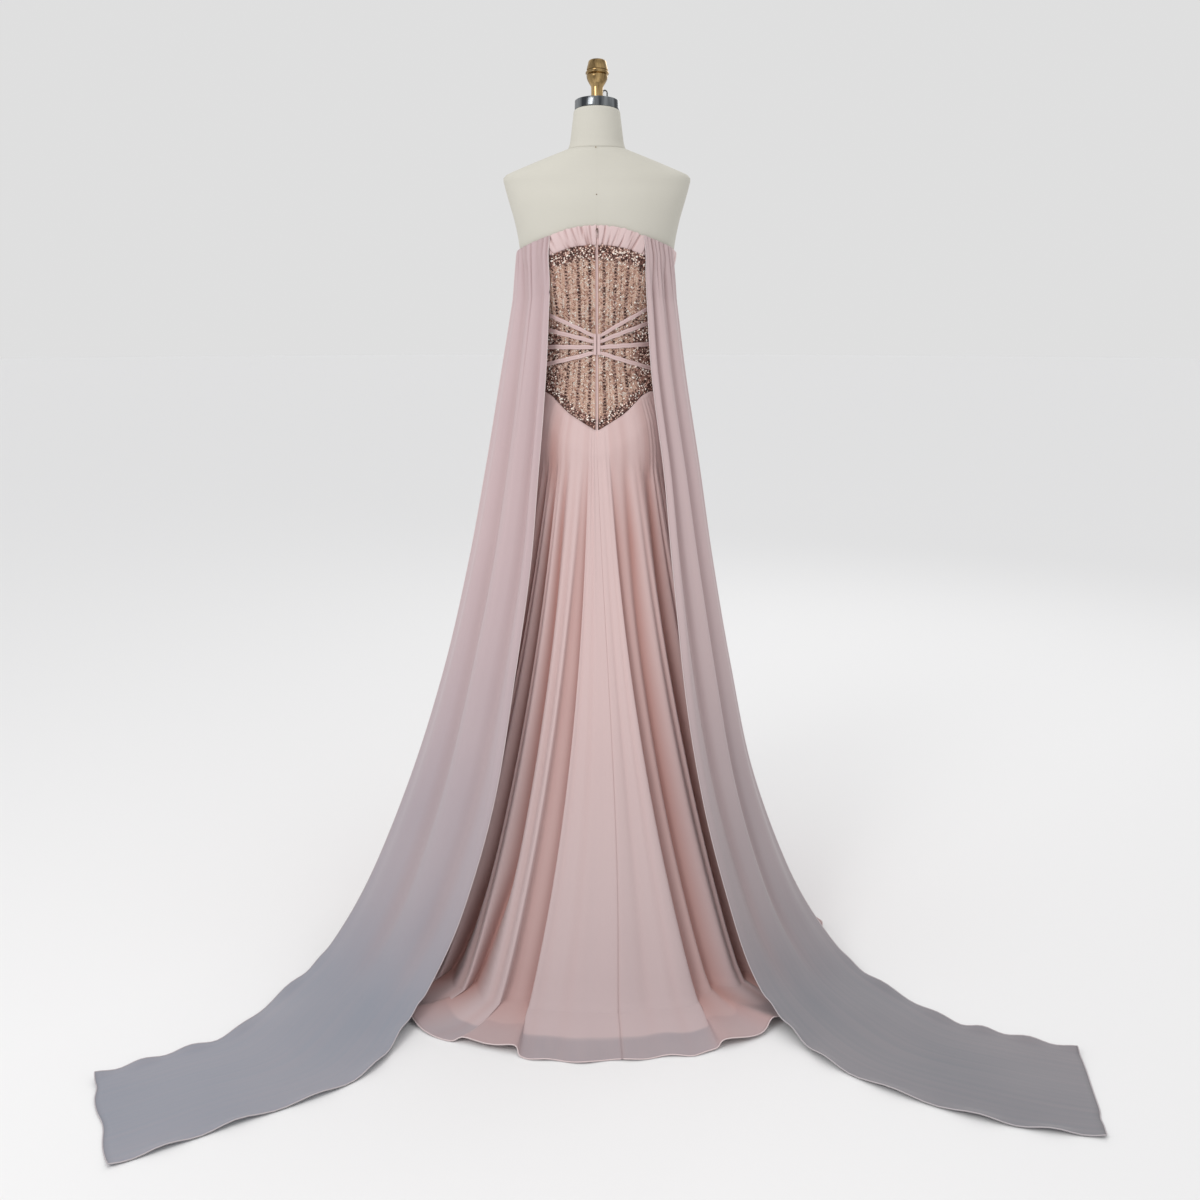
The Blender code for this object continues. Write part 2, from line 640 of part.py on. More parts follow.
def make_pull(collection):
    """The pull tab, hanging from its barrel; its object's origin is on the hinge's axis."""
    neck = PULL_BARREL_HALF - 0.0001
    outline = [
        (-neck, 0.0), (-neck, -0.0022), (-PULL_HALF_WIDTH * 0.8, -0.0040),
        (-PULL_HALF_WIDTH, -PULL_LENGTH * 0.75), (-PULL_HALF_WIDTH * 0.6, -PULL_LENGTH),
        (PULL_HALF_WIDTH * 0.6, -PULL_LENGTH), (PULL_HALF_WIDTH, -PULL_LENGTH * 0.75),
        (PULL_HALF_WIDTH * 0.8, -0.0040), (neck, -0.0022), (neck, 0.0),
    ]
    shape = bmesh.new()
    back = [shape.verts.new((x, -PULL_THICK / 2, z)) for x, z in outline]
    face = shape.faces.new(back)
    moved = bmesh.ops.extrude_face_region(shape, geom=[face])
    for item in moved["geom"]:
        if isinstance(item, bmesh.types.BMVert):
            item.co.y += PULL_THICK
    bmesh.ops.recalc_face_normals(shape, faces=shape.faces)
    blade_mesh = bpy.data.meshes.new("zip_pull")
    shape.to_mesh(blade_mesh)
    shape.free()
    blade = bpy.data.objects.new("zip_pull_blade", blade_mesh)
    bpy.context.scene.collection.objects.link(blade)
    bpy.ops.mesh.primitive_cylinder_add(
        vertices=16, radius=PULL_BARREL_RADIUS, depth=2 * PULL_BARREL_HALF,
        rotation=(0.0, math.pi / 2, 0.0))
    barrel = bpy.context.object
    union = blade.modifiers.new("Join", "BOOLEAN")
    union.operation = "UNION"
    union.object = barrel
    bpy.context.view_layer.update()
    evaluated = blade.evaluated_get(bpy.context.evaluated_depsgraph_get())
    mesh = bpy.data.meshes.new_from_object(evaluated)
    mesh.name = "zip_pull"
    bpy.data.objects.remove(blade, do_unlink=True)
    bpy.data.objects.remove(barrel, do_unlink=True)
    pull = add_mesh(collection, "zip_pull", mesh, "slider")
    pull.location = (0.0, float(gown_radius(0.0, PULL_AXIS_HEIGHT, PULL_AXIS_OUT)), PULL_AXIS_HEIGHT)


def grain_angle(grain, fall):
    """The angle of a line down the skirt: its fold table's top, middle and hem angles."""
    order = np.argsort(np.append(FOLDS["hem"], SEAM_LINE[2]))
    hem = np.append(FOLDS["hem"], SEAM_LINE[2])[order]
    top = np.append(FOLDS["top"], SEAM_LINE[0])[order]
    middle = np.append(FOLDS["middle"], SEAM_LINE[1])[order]
    at_top = grain + np.interp(grain, hem, top - hem)
    at_middle = grain + np.interp(grain, hem, middle - hem)
    s = np.clip((fall - SKIRT_ROWS[1]) / (1.0 - SKIRT_ROWS[1]), 0.0, 1.0)
    return at_top * (1 - s) * (1 - 2 * s) + at_middle * 4 * s * (1 - s) + grain * s * (2 * s - 1)


def grain_spread(grain, side, fall):
    """How many degrees the lines beside a seam are apart for each degree at the hem."""
    return np.abs(grain_angle(grain + side, fall) - grain_angle(grain, fall))


def fold_share(grain):
    """How deep the folds are at a line down the skirt, 0 to 1."""
    apart = (grain[..., None] - FOLDS["hem"] + 180.0) % 360.0 - 180.0
    return np.sum(FOLDS["depth"] * bump(apart / FOLDS["width"]), axis=-1)


def flare(fall):
    """How far out the skirt has come at a share of its fall: straight, then flaring."""
    s = np.clip(fall, 0.0, 1.0)
    return FLARE_STRAIGHT * s + (1.0 - FLARE_STRAIGHT) * s ** FLARE_POWER


def hem_radius(angle, column):
    """The radius where the cloth touches down, or of the hem, at an angle."""
    round_angle = np.abs((angle + 180.0) % 360.0 - 180.0)
    return smooth_table(round_angle, HEM["angle"], HEM[column])


def hip_radius(angle, top, height, out, ease):
    """The least radius of cloth over the hips, which eases off the form below the seam."""
    return gown_radius(angle, height, out) + ease * np.clip((top - height) / EASE_DROP, 0.0, 1.0)


def skirt_points(grain, fall):
    """The skirt's outer surface. fall is 0 at the seam, 1 at the floor and 2 at the hem."""
    fall = np.clip(fall, 0.0, 2.0)
    angle = grain_angle(grain, fall)
    top = edge_height(BASQUE, angle) - SEAM_GAP
    hang = np.minimum(fall, 1.0)
    lie = np.clip(fall - 1.0, 0.0, 1.0)
    height = top + (TOUCH_HEIGHT - top) * hang
    start = gown_radius(angle, top, SKIRT_OUT)
    smooth = start + (hem_radius(angle, "touch") - start) * flare(hang)
    radius = smooth - FOLD_DEPTH * fold_share(grain) * flare(hang) ** FOLD_START
    radius = np.maximum(radius, hip_radius(angle, top, height, SKIRT_OUT, SKIRT_EASE))
    edge = hem_radius(angle, "hem") - HEM_SCALLOP * FOLD_DEPTH * fold_share(grain)
    return polar(angle, radius + (edge - radius) * lie, height + (CLOTH - height) * lie)


def moved_out(surface, first, second, distance):
    """Points of a surface moved along its normals, which come from nearby points."""
    step_first = 0.02
    step_second = 0.002
    across = surface(first + step_first, second) - surface(first - step_first, second)
    along = surface(first, second + step_second) - surface(first, second - step_second)
    normal = np.cross(across, along)
    normal /= np.linalg.norm(normal, axis=-1, keepdims=True)
    return surface(first, second) + normal * distance


def on_floor(points, lowest):
    """Points kept no lower than a height."""
    kept = points.copy()
    kept[..., 2] = np.maximum(kept[..., 2], lowest)
    return kept


def skirt_columns(start, end):
    """Lines down a panel: four at each fold and the panel's two edges."""
    lines = (FOLDS["hem"][:, None] + FOLDS["width"][:, None] * np.array(FOLD_COLUMNS)).ravel()
    lines = np.concatenate([lines, lines + 360.0])
    inside = lines[(lines > start + EDGE_CLEAR) & (lines < end - EDGE_CLEAR)]
    return np.concatenate([[start], np.sort(inside), [end]])


def make_skirt(collection, label, start, end):
    """A skirt panel: folded cloth from the basque seam down, its hem lying on the floor."""
    grain = skirt_columns(start, end)[None, :]
    fall = np.array(SKIRT_ROWS)[:, None]
    grain, fall = np.broadcast_arrays(grain, fall)
    radius = np.linalg.norm(skirt_points(grain, fall)[..., :2], axis=-1)
    zipped = fall <= SKIRT_ROWS[1]
    gap_start = np.where(zipped & (start == SEAM_LINE[2]), ZIP_SLOT, SEAM_GAP / 2)
    gap_end = np.where(zipped & (end == SEAM_LINE[2]), ZIP_SLOT, SEAM_GAP / 2)
    low = start + seam_inset(radius, gap_start) / grain_spread(start, 1.0, fall)
    high = end - seam_inset(radius, gap_end) / grain_spread(end, -1.0, fall)
    grain = np.clip(grain, low, high)
    wrapped = (grain + 180.0) % 360.0 - 180.0
    outer = on_floor(skirt_points(wrapped, fall), CLOTH)
    inner = on_floor(moved_out(skirt_points, wrapped, fall, -CLOTH), 0.0)
    inner[-1, :, 2] = 0.0
    inner[-2, :, 2] = 0.0
    name = "skirt_" + label
    add_mesh(collection, name, wall_mesh(name, outer, inner), "chiffon")


def lining_radius(angle, height):
    """The lining's outer radius: it leaves the form at the basque and flares less."""
    top = edge_height(BASQUE, angle) - SEAM_GAP
    share = (top - height) / (top - TOUCH_HEIGHT)
    start = gown_radius(angle, top, LINING_OUT)
    radius = start + (LINING_SHARE * hem_radius(angle, "touch") - start) * flare(share)
    return np.maximum(radius, hip_radius(angle, top, height, LINING_OUT, LINING_EASE))


def make_lining(collection):
    """The plain lining inside the skirt, whose hem ends above the floor."""
    angles = (np.arange(LINING_COLUMNS) * 360.0 / LINING_COLUMNS)[None, :]
    top = edge_height(BASQUE, angles) - 2 * SEAM_GAP
    share = np.linspace(0.0, 1.0, LINING_ROWS)[:, None] ** LINING_ROW_POWER
    heights = top + (LINING_HEM - top) * share
    radius = lining_radius(angles, heights)
    outer = polar(angles, radius, heights)
    inner = polar(angles, radius - LINING_CLOTH, heights)
    name = "skirt_lining"
    add_mesh(collection, name, wall_mesh(name, outer, inner, closed=True), "lining")


def streamer_points(stations, across, down):
    """A streamer's outer surface. across is 0 at the inner edge and 1 at the outer one."""
    down = np.clip(down, 0.0, 1.0)
    start_angle = STREAMER_FROM + (STREAMER_TO - STREAMER_FROM) * across
    start_height = band_top(start_angle) - BAND_HEIGHT - SEAM_GAP
    start_radius = gown_radius(start_angle, start_height, STREAMER_OUT)
    count = len(stations["inner_x"])
    place = down * count
    edges = {}
    for edge in ("inner", "outer"):
        x = stations[edge + "_x"]
        y = stations[edge + "_y"]
        edges[edge] = (np.degrees(np.arctan2(x, y)), np.hypot(x, y), stations[edge + "_z"])
    rows = []
    for part in range(3):
        inner = smooth_table(place, np.arange(1, count + 1, dtype=float), edges["inner"][part])
        outer = smooth_table(place, np.arange(1, count + 1, dtype=float), edges["outer"][part])
        rows.append(inner + (outer - inner) * across)
    angle, radius, height = rows
    share = np.clip(place, 0.0, 1.0)
    angle = start_angle + (angle - start_angle) * share
    radius = start_radius + (radius - start_radius) * share
    height = start_height + (height - start_height) * share
    depth = np.interp(place, np.arange(count + 1), np.append(0.0, stations["ripple"]))
    radius = radius + depth * np.sin(2 * np.pi * STREAMER_RIPPLES * across)
    return polar(angle, radius, height)


def make_streamer(collection, side, stations):
    """A long panel from the band's lower edge, down over the skirt and out along the floor."""
    across = np.linspace(0.0, 1.0, STREAMER_COLUMNS)[None, :]
    down = np.linspace(0.0, 1.0, STREAMER_ROWS)[:, None]
    across, down = np.broadcast_arrays(across, down)

    def surface(first, second):
        return streamer_points(stations, first, second)

    outer = surface(across, down)
    inner = moved_out(surface, across, down, -CLOTH)
    inner[0] = outer[0] - polar(np.degrees(np.arctan2(outer[0, :, 0], outer[0, :, 1])), CLOTH, 0.0)
    lying = np.maximum(outer[..., 2], inner[..., 2] + CLOTH) < FLOOR_FROM
    outer[..., 2] = np.maximum(outer[..., 2], CLOTH)
    inner[..., 2] = np.where(lying, outer[..., 2] - CLOTH, np.maximum(inner[..., 2], 0.0))
    flat = lying & (inner[..., 2] < 0.001)
    outer[..., 2] = np.where(flat, CLOTH, outer[..., 2])
    inner[..., 2] = np.where(flat, 0.0, inner[..., 2])
    if side == "right":
        outer = outer[:, ::-1] * (-1, 1, 1)
        inner = inner[:, ::-1] * (-1, 1, 1)
    name = "streamer_" + side
    add_mesh(collection, name, wall_mesh(name, outer, inner), "streamer")


def main():
    """Build the dress form, its stand and the gown."""
    clear_scene()
    collection = make_collection()
    make_torso(collection)
    make_neck(collection)
    make_cap_and_finial(collection)
    make_stand(collection)
    for label, start, end in PANELS:
        make_band(collection, label, start, end)
        make_bodice(collection, label, start, end)
    for number in range(len(STRAPS["join"])):
        for side in ("left", "right"):
            make_strap(collection, side, number + 1, STRAPS["join"][number], STRAPS[side][number])
    make_join(collection, "left")
    make_join(collection, "right")
    make_zip(collection)
    make_slider(collection)
    make_pull(collection)
    make_skirt(collection, "back_right", -SIDE_ANGLE, SEAM_LINE[2])
    make_skirt(collection, "back_left", SEAM_LINE[2], SIDE_ANGLE)
    make_skirt(collection, "front", SIDE_ANGLE, 360.0 - SIDE_ANGLE)
    make_lining(collection)
    make_streamer(collection, "left", STREAMER_LEFT)
    make_streamer(collection, "right", STREAMER_RIGHT)


main()
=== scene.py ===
# A-line evening gown on a limbless dress form: its looks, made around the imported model.
# Metres, +Z up. The gown's back faces +Y, where the camera stands.
# Angles go round the Z axis in degrees: 0 is centre back, 90 the wearer's left (+X), 180 centre front.
# A surface is a function of two arrays, and gives one point for each pair of values.
import math

import bpy
import numpy as np
from mathutils import Matrix, Vector


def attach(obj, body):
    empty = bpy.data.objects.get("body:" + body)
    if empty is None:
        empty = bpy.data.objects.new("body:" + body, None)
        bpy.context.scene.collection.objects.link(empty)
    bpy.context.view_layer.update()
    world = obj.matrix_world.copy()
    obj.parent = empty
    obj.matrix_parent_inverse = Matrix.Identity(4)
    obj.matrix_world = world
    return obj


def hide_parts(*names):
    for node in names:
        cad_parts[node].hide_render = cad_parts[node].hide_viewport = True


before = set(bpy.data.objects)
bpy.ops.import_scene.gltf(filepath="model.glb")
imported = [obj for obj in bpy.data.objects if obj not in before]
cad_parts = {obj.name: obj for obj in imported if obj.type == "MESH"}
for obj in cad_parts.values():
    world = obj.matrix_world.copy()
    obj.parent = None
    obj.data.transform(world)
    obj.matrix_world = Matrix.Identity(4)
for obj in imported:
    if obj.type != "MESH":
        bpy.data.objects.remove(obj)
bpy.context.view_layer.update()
gownBody = "gown_and_form"
chance = np.random.default_rng(11)


# Curves and places

def tableOf(columns, rows):  # a small table: one array for each named column
    return dict(zip(columns.split(), np.array(rows, dtype=float).T))


def smoothCurve(x, xs, ys):  # cubic Hermite through the rows, with the slopes of numpy's gradient
    slopes = np.gradient(ys, xs)
    x = np.clip(x, xs[0], xs[-1])
    low = np.clip(np.searchsorted(xs, x) - 1, 0, len(xs) - 2)
    step = xs[low + 1] - xs[low]
    k = (x - xs[low]) / step
    start = ys[low] * (1 + 2 * k) * (1 - k) ** 2 + slopes[low] * step * k * (1 - k) ** 2
    return start + ys[low + 1] * k * k * (3 - 2 * k) + slopes[low + 1] * step * k * k * (k - 1)


def smoothStep(x, low, high):  # 0 below low, 1 above high, 3k^2 - 2k^3 between
    k = np.clip((x - low) / (high - low), 0.0, 1.0)
    return k * k * (3 - 2 * k)


def bell(distance):  # exp(-d^2)
    return np.exp(-distance ** 2)


def awayFrom(angle, other):  # signed difference of two angles, -180 to 180
    return (angle - other + 180.0) % 360.0 - 180.0


def polar(angle, radius, height):  # (r sin a, r cos a, z)
    turn = np.radians(angle)
    return np.stack(np.broadcast_arrays(radius * np.sin(turn), radius * np.cos(turn), height), axis=-1)


def between(low, high, count):  # evenly spaced values
    return np.linspace(low, high, count)


# Meshes and pieces

def meshFrom(name, points, faces):  # points (n, 3) and faces (m, corners) straight into a mesh
    mesh = bpy.data.meshes.new(name)
    corners = faces.shape[1]
    mesh.vertices.add(len(points))
    mesh.vertices.foreach_set("co", np.ascontiguousarray(points, dtype=np.float32).ravel())
    mesh.loops.add(faces.size)
    mesh.loops.foreach_set("vertex_index", np.ascontiguousarray(faces, dtype=np.int32).ravel())
    mesh.polygons.add(len(faces))
    mesh.polygons.foreach_set("loop_start", np.arange(0, faces.size, corners, dtype=np.int32))
    mesh.update(calc_edges=True)
    return mesh


def gridFaces(rows, columns, around=False):  # quads of a grid whose rows go down and columns go left
    index = np.arange(rows * columns).reshape(rows, columns)
    if around:
        index = np.hstack([index, index[:, :1]])
    return np.stack([index[:-1, :-1], index[:-1, 1:], index[1:, 1:], index[1:, :-1]], axis=-1).reshape(-1, 4)


def gridMesh(name, grid, around=False, grain=None, **values):
    # a surface from a grid of points, with a map of the cloth's grain and named values at its points
    rows, columns, _ = grid.shape
    mesh = meshFrom(name, grid.reshape(-1, 3), gridFaces(rows, columns, around))
    if grain is not None:
        corner = np.empty(len(mesh.loops), dtype=np.int32)
        mesh.loops.foreach_get("vertex_index", corner)
        flat = np.stack(np.broadcast_arrays(*grain), axis=-1).reshape(-1, 2)
        layer = mesh.uv_layers.new(name="grain")
        layer.data.foreach_set("uv", flat[corner].astype(np.float32).ravel())
    for label, value in values.items():
        spread = np.broadcast_to(value, (rows, columns)).astype(np.float32).ravel()
        mesh.attributes.new(label, "FLOAT", "POINT").data.foreach_set("value", spread)
    return mesh


def addPiece(mesh, material, replaced=(), smooth=True):
    # a mesh as a finished piece: it rides the gown's body, has its material slot and stands for CAD nodes
    piece = bpy.data.objects.new(mesh.name, mesh)
    bpy.context.scene.collection.objects.link(piece)
    mesh.materials.append(material)
    if smooth:
        mesh.shade_smooth()
    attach(piece, gownBody)
    if replaced:
        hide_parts(*replaced)
    return piece


def thicken(piece, thickness):  # cloth gets its thickness on the inside
    solid = piece.modifiers.new("clothThickness", "SOLIDIFY")
    solid.thickness = thickness
    solid.offset = -1.0
    return piece


def tubeMesh(name, path, radius, sides=8, closed=False, **values):
    # a round tube: rings of radius r across the path, drawn in to a point at open ends
    along = np.gradient(path, axis=0)
    if closed:
        along = np.roll(path, -1, axis=0) - np.roll(path, 1, axis=0)
    along /= np.linalg.norm(along, axis=-1, keepdims=True)
    across = np.cross(along, (0.0, 0.0, 1.0)) + np.array([0.0, 0.0, 1e-6])
    across /= np.linalg.norm(across, axis=-1, keepdims=True)
    rise = np.cross(across, along)
    turn = np.arange(sides) * 2 * np.pi / sides
    thick = np.broadcast_to(radius, len(path)).astype(float).copy()
    if not closed:
        thick[[0, -1]] = 1e-5
    ring = across[:, None] * np.cos(turn)[None, :, None] + rise[:, None] * np.sin(turn)[None, :, None]
    grid = path[:, None] + ring * thick[:, None, None]
    if closed:
        grid = np.concatenate([grid, grid[:1]])
    return gridMesh(name, grid[:, ::-1], around=True, **values)


def closedEnds(grid):  # rings added at both ends of a tube, shrunk almost to a point
    rings = grid[[0, -1]]
    middle = rings.mean(axis=1, keepdims=True)
    ends = middle + 0.02 * (rings - middle)
    return np.concatenate([ends[:1], grid, ends[1:]])


def turnedMesh(name, profile, steps):  # a profile of (radius, height) from the top down, turned round Z
    profile = np.array(profile)
    angles = np.arange(steps) * 360.0 / steps
    grid = polar(angles[None, :], profile[:, :1], profile[:, 1:])
    return gridMesh(name, grid, around=True)


def softCorners(profile, bend):  # a polyline with each corner cut back and rounded by a small arc
    points = np.array(profile, dtype=float)
    rounded = [points[0]]
    for before, corner, after in zip(points[:-2], points[1:-1], points[2:]):
        toBefore = before - corner
        toAfter = after - corner
        cut = min(bend, 0.45 * np.linalg.norm(toBefore), 0.45 * np.linalg.norm(toAfter))
        start = corner + toBefore / np.linalg.norm(toBefore) * cut
        end = corner + toAfter / np.linalg.norm(toAfter) * cut
        for k in (0.0, 0.33, 0.67, 1.0):
            rounded.append(start * (1 - k) ** 2 + corner * 2 * k * (1 - k) + end * k * k)
    rounded.append(points[-1])
    return np.array(rounded)


# Materials

def newMaterial(name, roughness, metallic, colour):  # a plain Principled material, with what links to it
    material = bpy.data.materials.new(name)
    material.use_nodes = True
    shader = material.node_tree.nodes["Principled BSDF"]
    shader.inputs["Roughness"].default_value = roughness
    shader.inputs["Metallic"].default_value = metallic
    shader.inputs["Base Color"].default_value = (*colour, 1.0)
    material.diffuse_color = (*colour, 1.0)
    return material, material.node_tree, shader


def addNode(tree, kind, **sockets):  # a node with its input sockets set by name
    made = tree.nodes.new("ShaderNode" + kind)
    for name, value in sockets.items():
        made.inputs[name.replace("_", " ")].default_value = value
    return made


def colourMix(tree, factor, first, second):  # mix of two colours or links by a factor or link
    mix = tree.nodes.new("ShaderNodeMix")
    mix.data_type = "RGBA"
    for socket, value in ((mix.inputs[0], factor), (mix.inputs[6], first), (mix.inputs[7], second)):
        if isinstance(value, bpy.types.NodeSocket):
            tree.links.new(value, socket)
        elif isinstance(value, tuple):
            socket.default_value = (*value, 1.0)
        else:
            socket.default_value = value
    return mix.outputs[2]


def ranged(tree, value, low, high, toLow, toHigh):  # a value carried from one range to another, kept inside
    shift = addNode(tree, "MapRange")
    tree.links.new(value, shift.inputs["Value"])
    for name, number in zip(("From Min", "From Max", "To Min", "To Max"), (low, high, toLow, toHigh)):
        shift.inputs[name].default_value = number
    return shift.outputs["Result"]


def noiseOf(tree, vector, scale, detail=2.0, stretch=None):  # noise at a place, which may be stretched first
    if stretch:
        mapping = addNode(tree, "Mapping", Scale=stretch)
        tree.links.new(vector, mapping.inputs["Vector"])
        vector = mapping.outputs["Vector"]
    noise = addNode(tree, "TexNoise", Scale=scale, Detail=detail)
    tree.links.new(vector, noise.inputs["Vector"])
    return noise.outputs[0]


def bumpFrom(tree, shader, height, strength, distance, under=None):  # a bump, on top of another one if given
    bump = addNode(tree, "Bump", Strength=strength, Distance=distance)
    tree.links.new(height, bump.inputs["Height"])
    if under:
        tree.links.new(under.outputs["Normal"], bump.inputs["Normal"])
    tree.links.new(bump.outputs["Normal"], shader.inputs["Normal"])
    return bump


def attributeOf(tree, name):  # a named value that the mesh holds at its points
    reader = tree.nodes.new("ShaderNodeAttribute")
    reader.attribute_name = name
    return reader.outputs["Fac"]


def grainOf(tree):  # the cloth's own map
    reader = tree.nodes.new("ShaderNodeUVMap")
    reader.uv_map = "grain"
    return reader.outputs["UV"]


def objectPlace(tree):  # places in the piece's own metres
    return tree.nodes.new("ShaderNodeTexCoord").outputs["Object"]


chiffonLook = {
    "backed": (0.690, 0.515, 0.505),     # over the lining
    "single": (0.270, 0.248, 0.275),     # one layer, with nothing behind it
    "paintedShade": (0.420, 0.195, 0.165),     # painted shade, mixed in deep in folds, grooves and creases
    "streakDepth": 0.05,
    "crepeSize": 900.0,
    "sheen": 0.25,
}


def makeChiffon(name, backed, single, paintedShade):
    # Colour goes from backed to single by the "single" value and to painted shade by "depth", with streaks
    # that follow the grain; a fine crepe grain and the streaks raise the surface.
    material, tree, shader = newMaterial(name, 0.82, 0.0, backed)
    streak = noiseOf(tree, grainOf(tree), 1.0, 3.0, (70.0, 1.6, 1.0))
    cloudy = noiseOf(tree, objectPlace(tree), 3.0, 2.0)
    base = colourMix(tree, attributeOf(tree, "single"), backed, single)
    base = colourMix(tree, attributeOf(tree, "depth"), base, paintedShade)
    shade = ranged(tree, streak, 0.3, 0.7, 0.0, chiffonLook["streakDepth"] * 2)
    base = colourMix(tree, shade, base, tuple(0.75 * c for c in backed))
    base = colourMix(tree, ranged(tree, cloudy, 0.35, 0.65, 0.0, 0.08), base, (0.74, 0.60, 0.58))
    tree.links.new(base, shader.inputs["Base Color"])
    crepe = noiseOf(tree, objectPlace(tree), chiffonLook["crepeSize"], 1.0)
    fine = bumpFrom(tree, shader, crepe, 0.12, 0.0004)
    bumpFrom(tree, shader, streak, 0.25, 0.0012, fine)
    shader.inputs["Sheen Weight"].default_value = chiffonLook["sheen"]
    shader.inputs["Sheen Roughness"].default_value = 0.5
    shader.inputs["Specular IOR Level"].default_value = 0.25
    return material


def makeCanvas():  # cream canvas: a plain weave of two crossed waves, with faint uneven ageing
    material, tree, shader = newMaterial("formCanvas", 0.85, 0.0, (0.66, 0.635, 0.555))
    place = objectPlace(tree)
    base = colourMix(tree, ranged(tree, noiseOf(tree, place, 6.0, 3.0), 0.35, 0.65, 0.0, 1.0),
                     (0.600, 0.580, 0.515), (0.630, 0.610, 0.545))
    base = colourMix(tree, attributeOf(tree, "seam"), base, (0.42, 0.40, 0.34))
    tree.links.new(base, shader.inputs["Base Color"])
    threads = None
    for direction in ("Z", "X"):
        weave = addNode(tree, "TexWave", Scale=260.0, Distortion=1.5)
        weave.bands_direction = direction
        tree.links.new(place, weave.inputs["Vector"])
        threads = bumpFrom(tree, shader, weave.outputs["Fac"], 0.10, 0.0003, threads)
    shader.inputs["Specular IOR Level"].default_value = 0.25
    return material


def makeMetal(name, bright, dark, roughness, patchSize, stretch=None):
    # metal whose colour and gloss vary in soft patches, or in streaks along an axis; on the brass and chrome the dark
    # streaks are painted reflections
    material, tree, shader = newMaterial(name, roughness, 1.0, bright)
    patches = noiseOf(tree, objectPlace(tree), patchSize, 4.0, stretch)
    base = colourMix(tree, ranged(tree, patches, 0.35, 0.65, 0.0, 1.0), bright, dark)
    tree.links.new(base, shader.inputs["Base Color"])
    gloss = ranged(tree, patches, 0.3, 0.7, roughness * 0.8, roughness * 1.3)
    tree.links.new(gloss, shader.inputs["Roughness"])
    bumpFrom(tree, shader, noiseOf(tree, objectPlace(tree), patchSize * 6, 2.0), 0.04, 0.0004)
    return material


def makeTulle():  # the bodice's ground: cloudy peach cloth, dark under the borders, with a fine raised grain
    material, tree, shader = newMaterial("bodiceGround", 0.55, 0.0, (0.62, 0.40, 0.29))
    place = objectPlace(tree)
    base = colourMix(tree, ranged(tree, noiseOf(tree, place, 40.0, 3.0), 0.35, 0.65, 0.0, 1.0),
                     (0.76, 0.51, 0.41), (0.62, 0.39, 0.30))
    base = colourMix(tree, attributeOf(tree, "border"), base, (0.26, 0.135, 0.115))
    tree.links.new(base, shader.inputs["Base Color"])
    bumpFrom(tree, shader, noiseOf(tree, place, 900.0, 1.0), 0.3, 0.0005)
    return material


def makeBeadLook(name, tones, roughness, metallic):
    # beads whose colour comes from a value of each bead's own, through a ramp of tones; a ramp that ends near white
    # paints glints on some beads
    material, tree, shader = newMaterial(name, roughness, metallic, tones[0][1])
    ramp = tree.nodes.new("ShaderNodeValToRGB")
    ramp.color_ramp.elements[0].position = tones[0][0]
    ramp.color_ramp.elements[0].color = (*tones[0][1], 1.0)
    ramp.color_ramp.elements[1].position = tones[-1][0]
    ramp.color_ramp.elements[1].color = (*tones[-1][1], 1.0)
    for position, colour in tones[1:-1]:
        ramp.color_ramp.elements.new(position).color = (*colour, 1.0)
    tree.links.new(attributeOf(tree, "toneAndGlint"), ramp.inputs["Fac"])
    tree.links.new(ramp.outputs["Color"], shader.inputs["Base Color"])
    return material


# The dress form

formShape = {
    "sections": tableOf("height side back front", [
        (0.880, 0.150, 0.122, 0.112),
        (0.930, 0.153, 0.127, 0.112),
        (0.980, 0.151, 0.124, 0.110),
        (1.040, 0.143, 0.111, 0.104),
        (1.100, 0.130, 0.098, 0.098),
        (1.175, 0.118, 0.088, 0.092),
        (1.240, 0.124, 0.092, 0.098),
        (1.300, 0.140, 0.097, 0.104),
        (1.340, 0.150, 0.100, 0.106),
        (1.377, 0.155, 0.100, 0.102),
        (1.415, 0.163, 0.098, 0.093),
        (1.453, 0.174, 0.090, 0.080),
        (1.480, 0.1812, 0.079, 0.067),
        (1.492, 0.1832, 0.0755, 0.0635),
        (1.4975, 0.1795, 0.0728, 0.0612),
        (1.5015, 0.1715, 0.0712, 0.0597),
        (1.509, 0.153, 0.069, 0.058),
        (1.528, 0.1055, 0.062, 0.054),
        (1.546, 0.057, 0.057, 0.053),
    ]),
    "roundness": 2.3,
    "bust": {"rise": 0.026, "ease": 0.004, "angle": 148.0, "width": 21.0, "height": 1.300, "spread": 0.055},
    "rows": 100,
    "columns": 132,
    "seams": {0.0: 0.10, 90.0: 0.6, -90.0: 0.6, 142.0: 1.0, -142.0: 1.0, 180.0: 0.8},  # angle: strength
    "seamWidth": 0.45,
    "seamDepth": 0.0006,
}
neckShape = {
    "profile": tableOf("height radius", [
        (1.5463, 0.0565), (1.556, 0.0530), (1.570, 0.0508), (1.590, 0.0482), (1.6065, 0.0460), (1.6175, 0.0450),
    ]),
    "tilt": math.radians(6),
    "roll": math.radians(0.5),
    "edgeRound": 0.0045,
    "gap": 0.0003,
}


def formRadius(angle, height, ease=0.0):
    # a superellipse section whose half width and depths come from the table, plus two bells for the bust
    turn = np.radians(angle)
    sections = formShape["sections"]
    side, back, front = (smoothCurve(height, sections["height"], sections[name])
                         for name in ("side", "back", "front"))
    depth = np.where(np.cos(turn) > 0, back, front)
    power = formShape["roundness"]
    radius = ((np.abs(np.sin(turn)) / side) ** power + (np.abs(np.cos(turn)) / depth) ** power) ** (-1 / power)
    bust = formShape["bust"]
    round_ = np.abs(awayFrom(angle, 0.0))
    swell = bell((round_ - bust["angle"]) / bust["width"]) * bell((height - bust["height"]) / bust["spread"])
    return radius + (bust["rise"] + ease) * swell


def gownRadius(angle, height, out):  # the form's radius with ease over the bust, moved out
    return formRadius(angle, height, formShape["bust"]["ease"]) + out


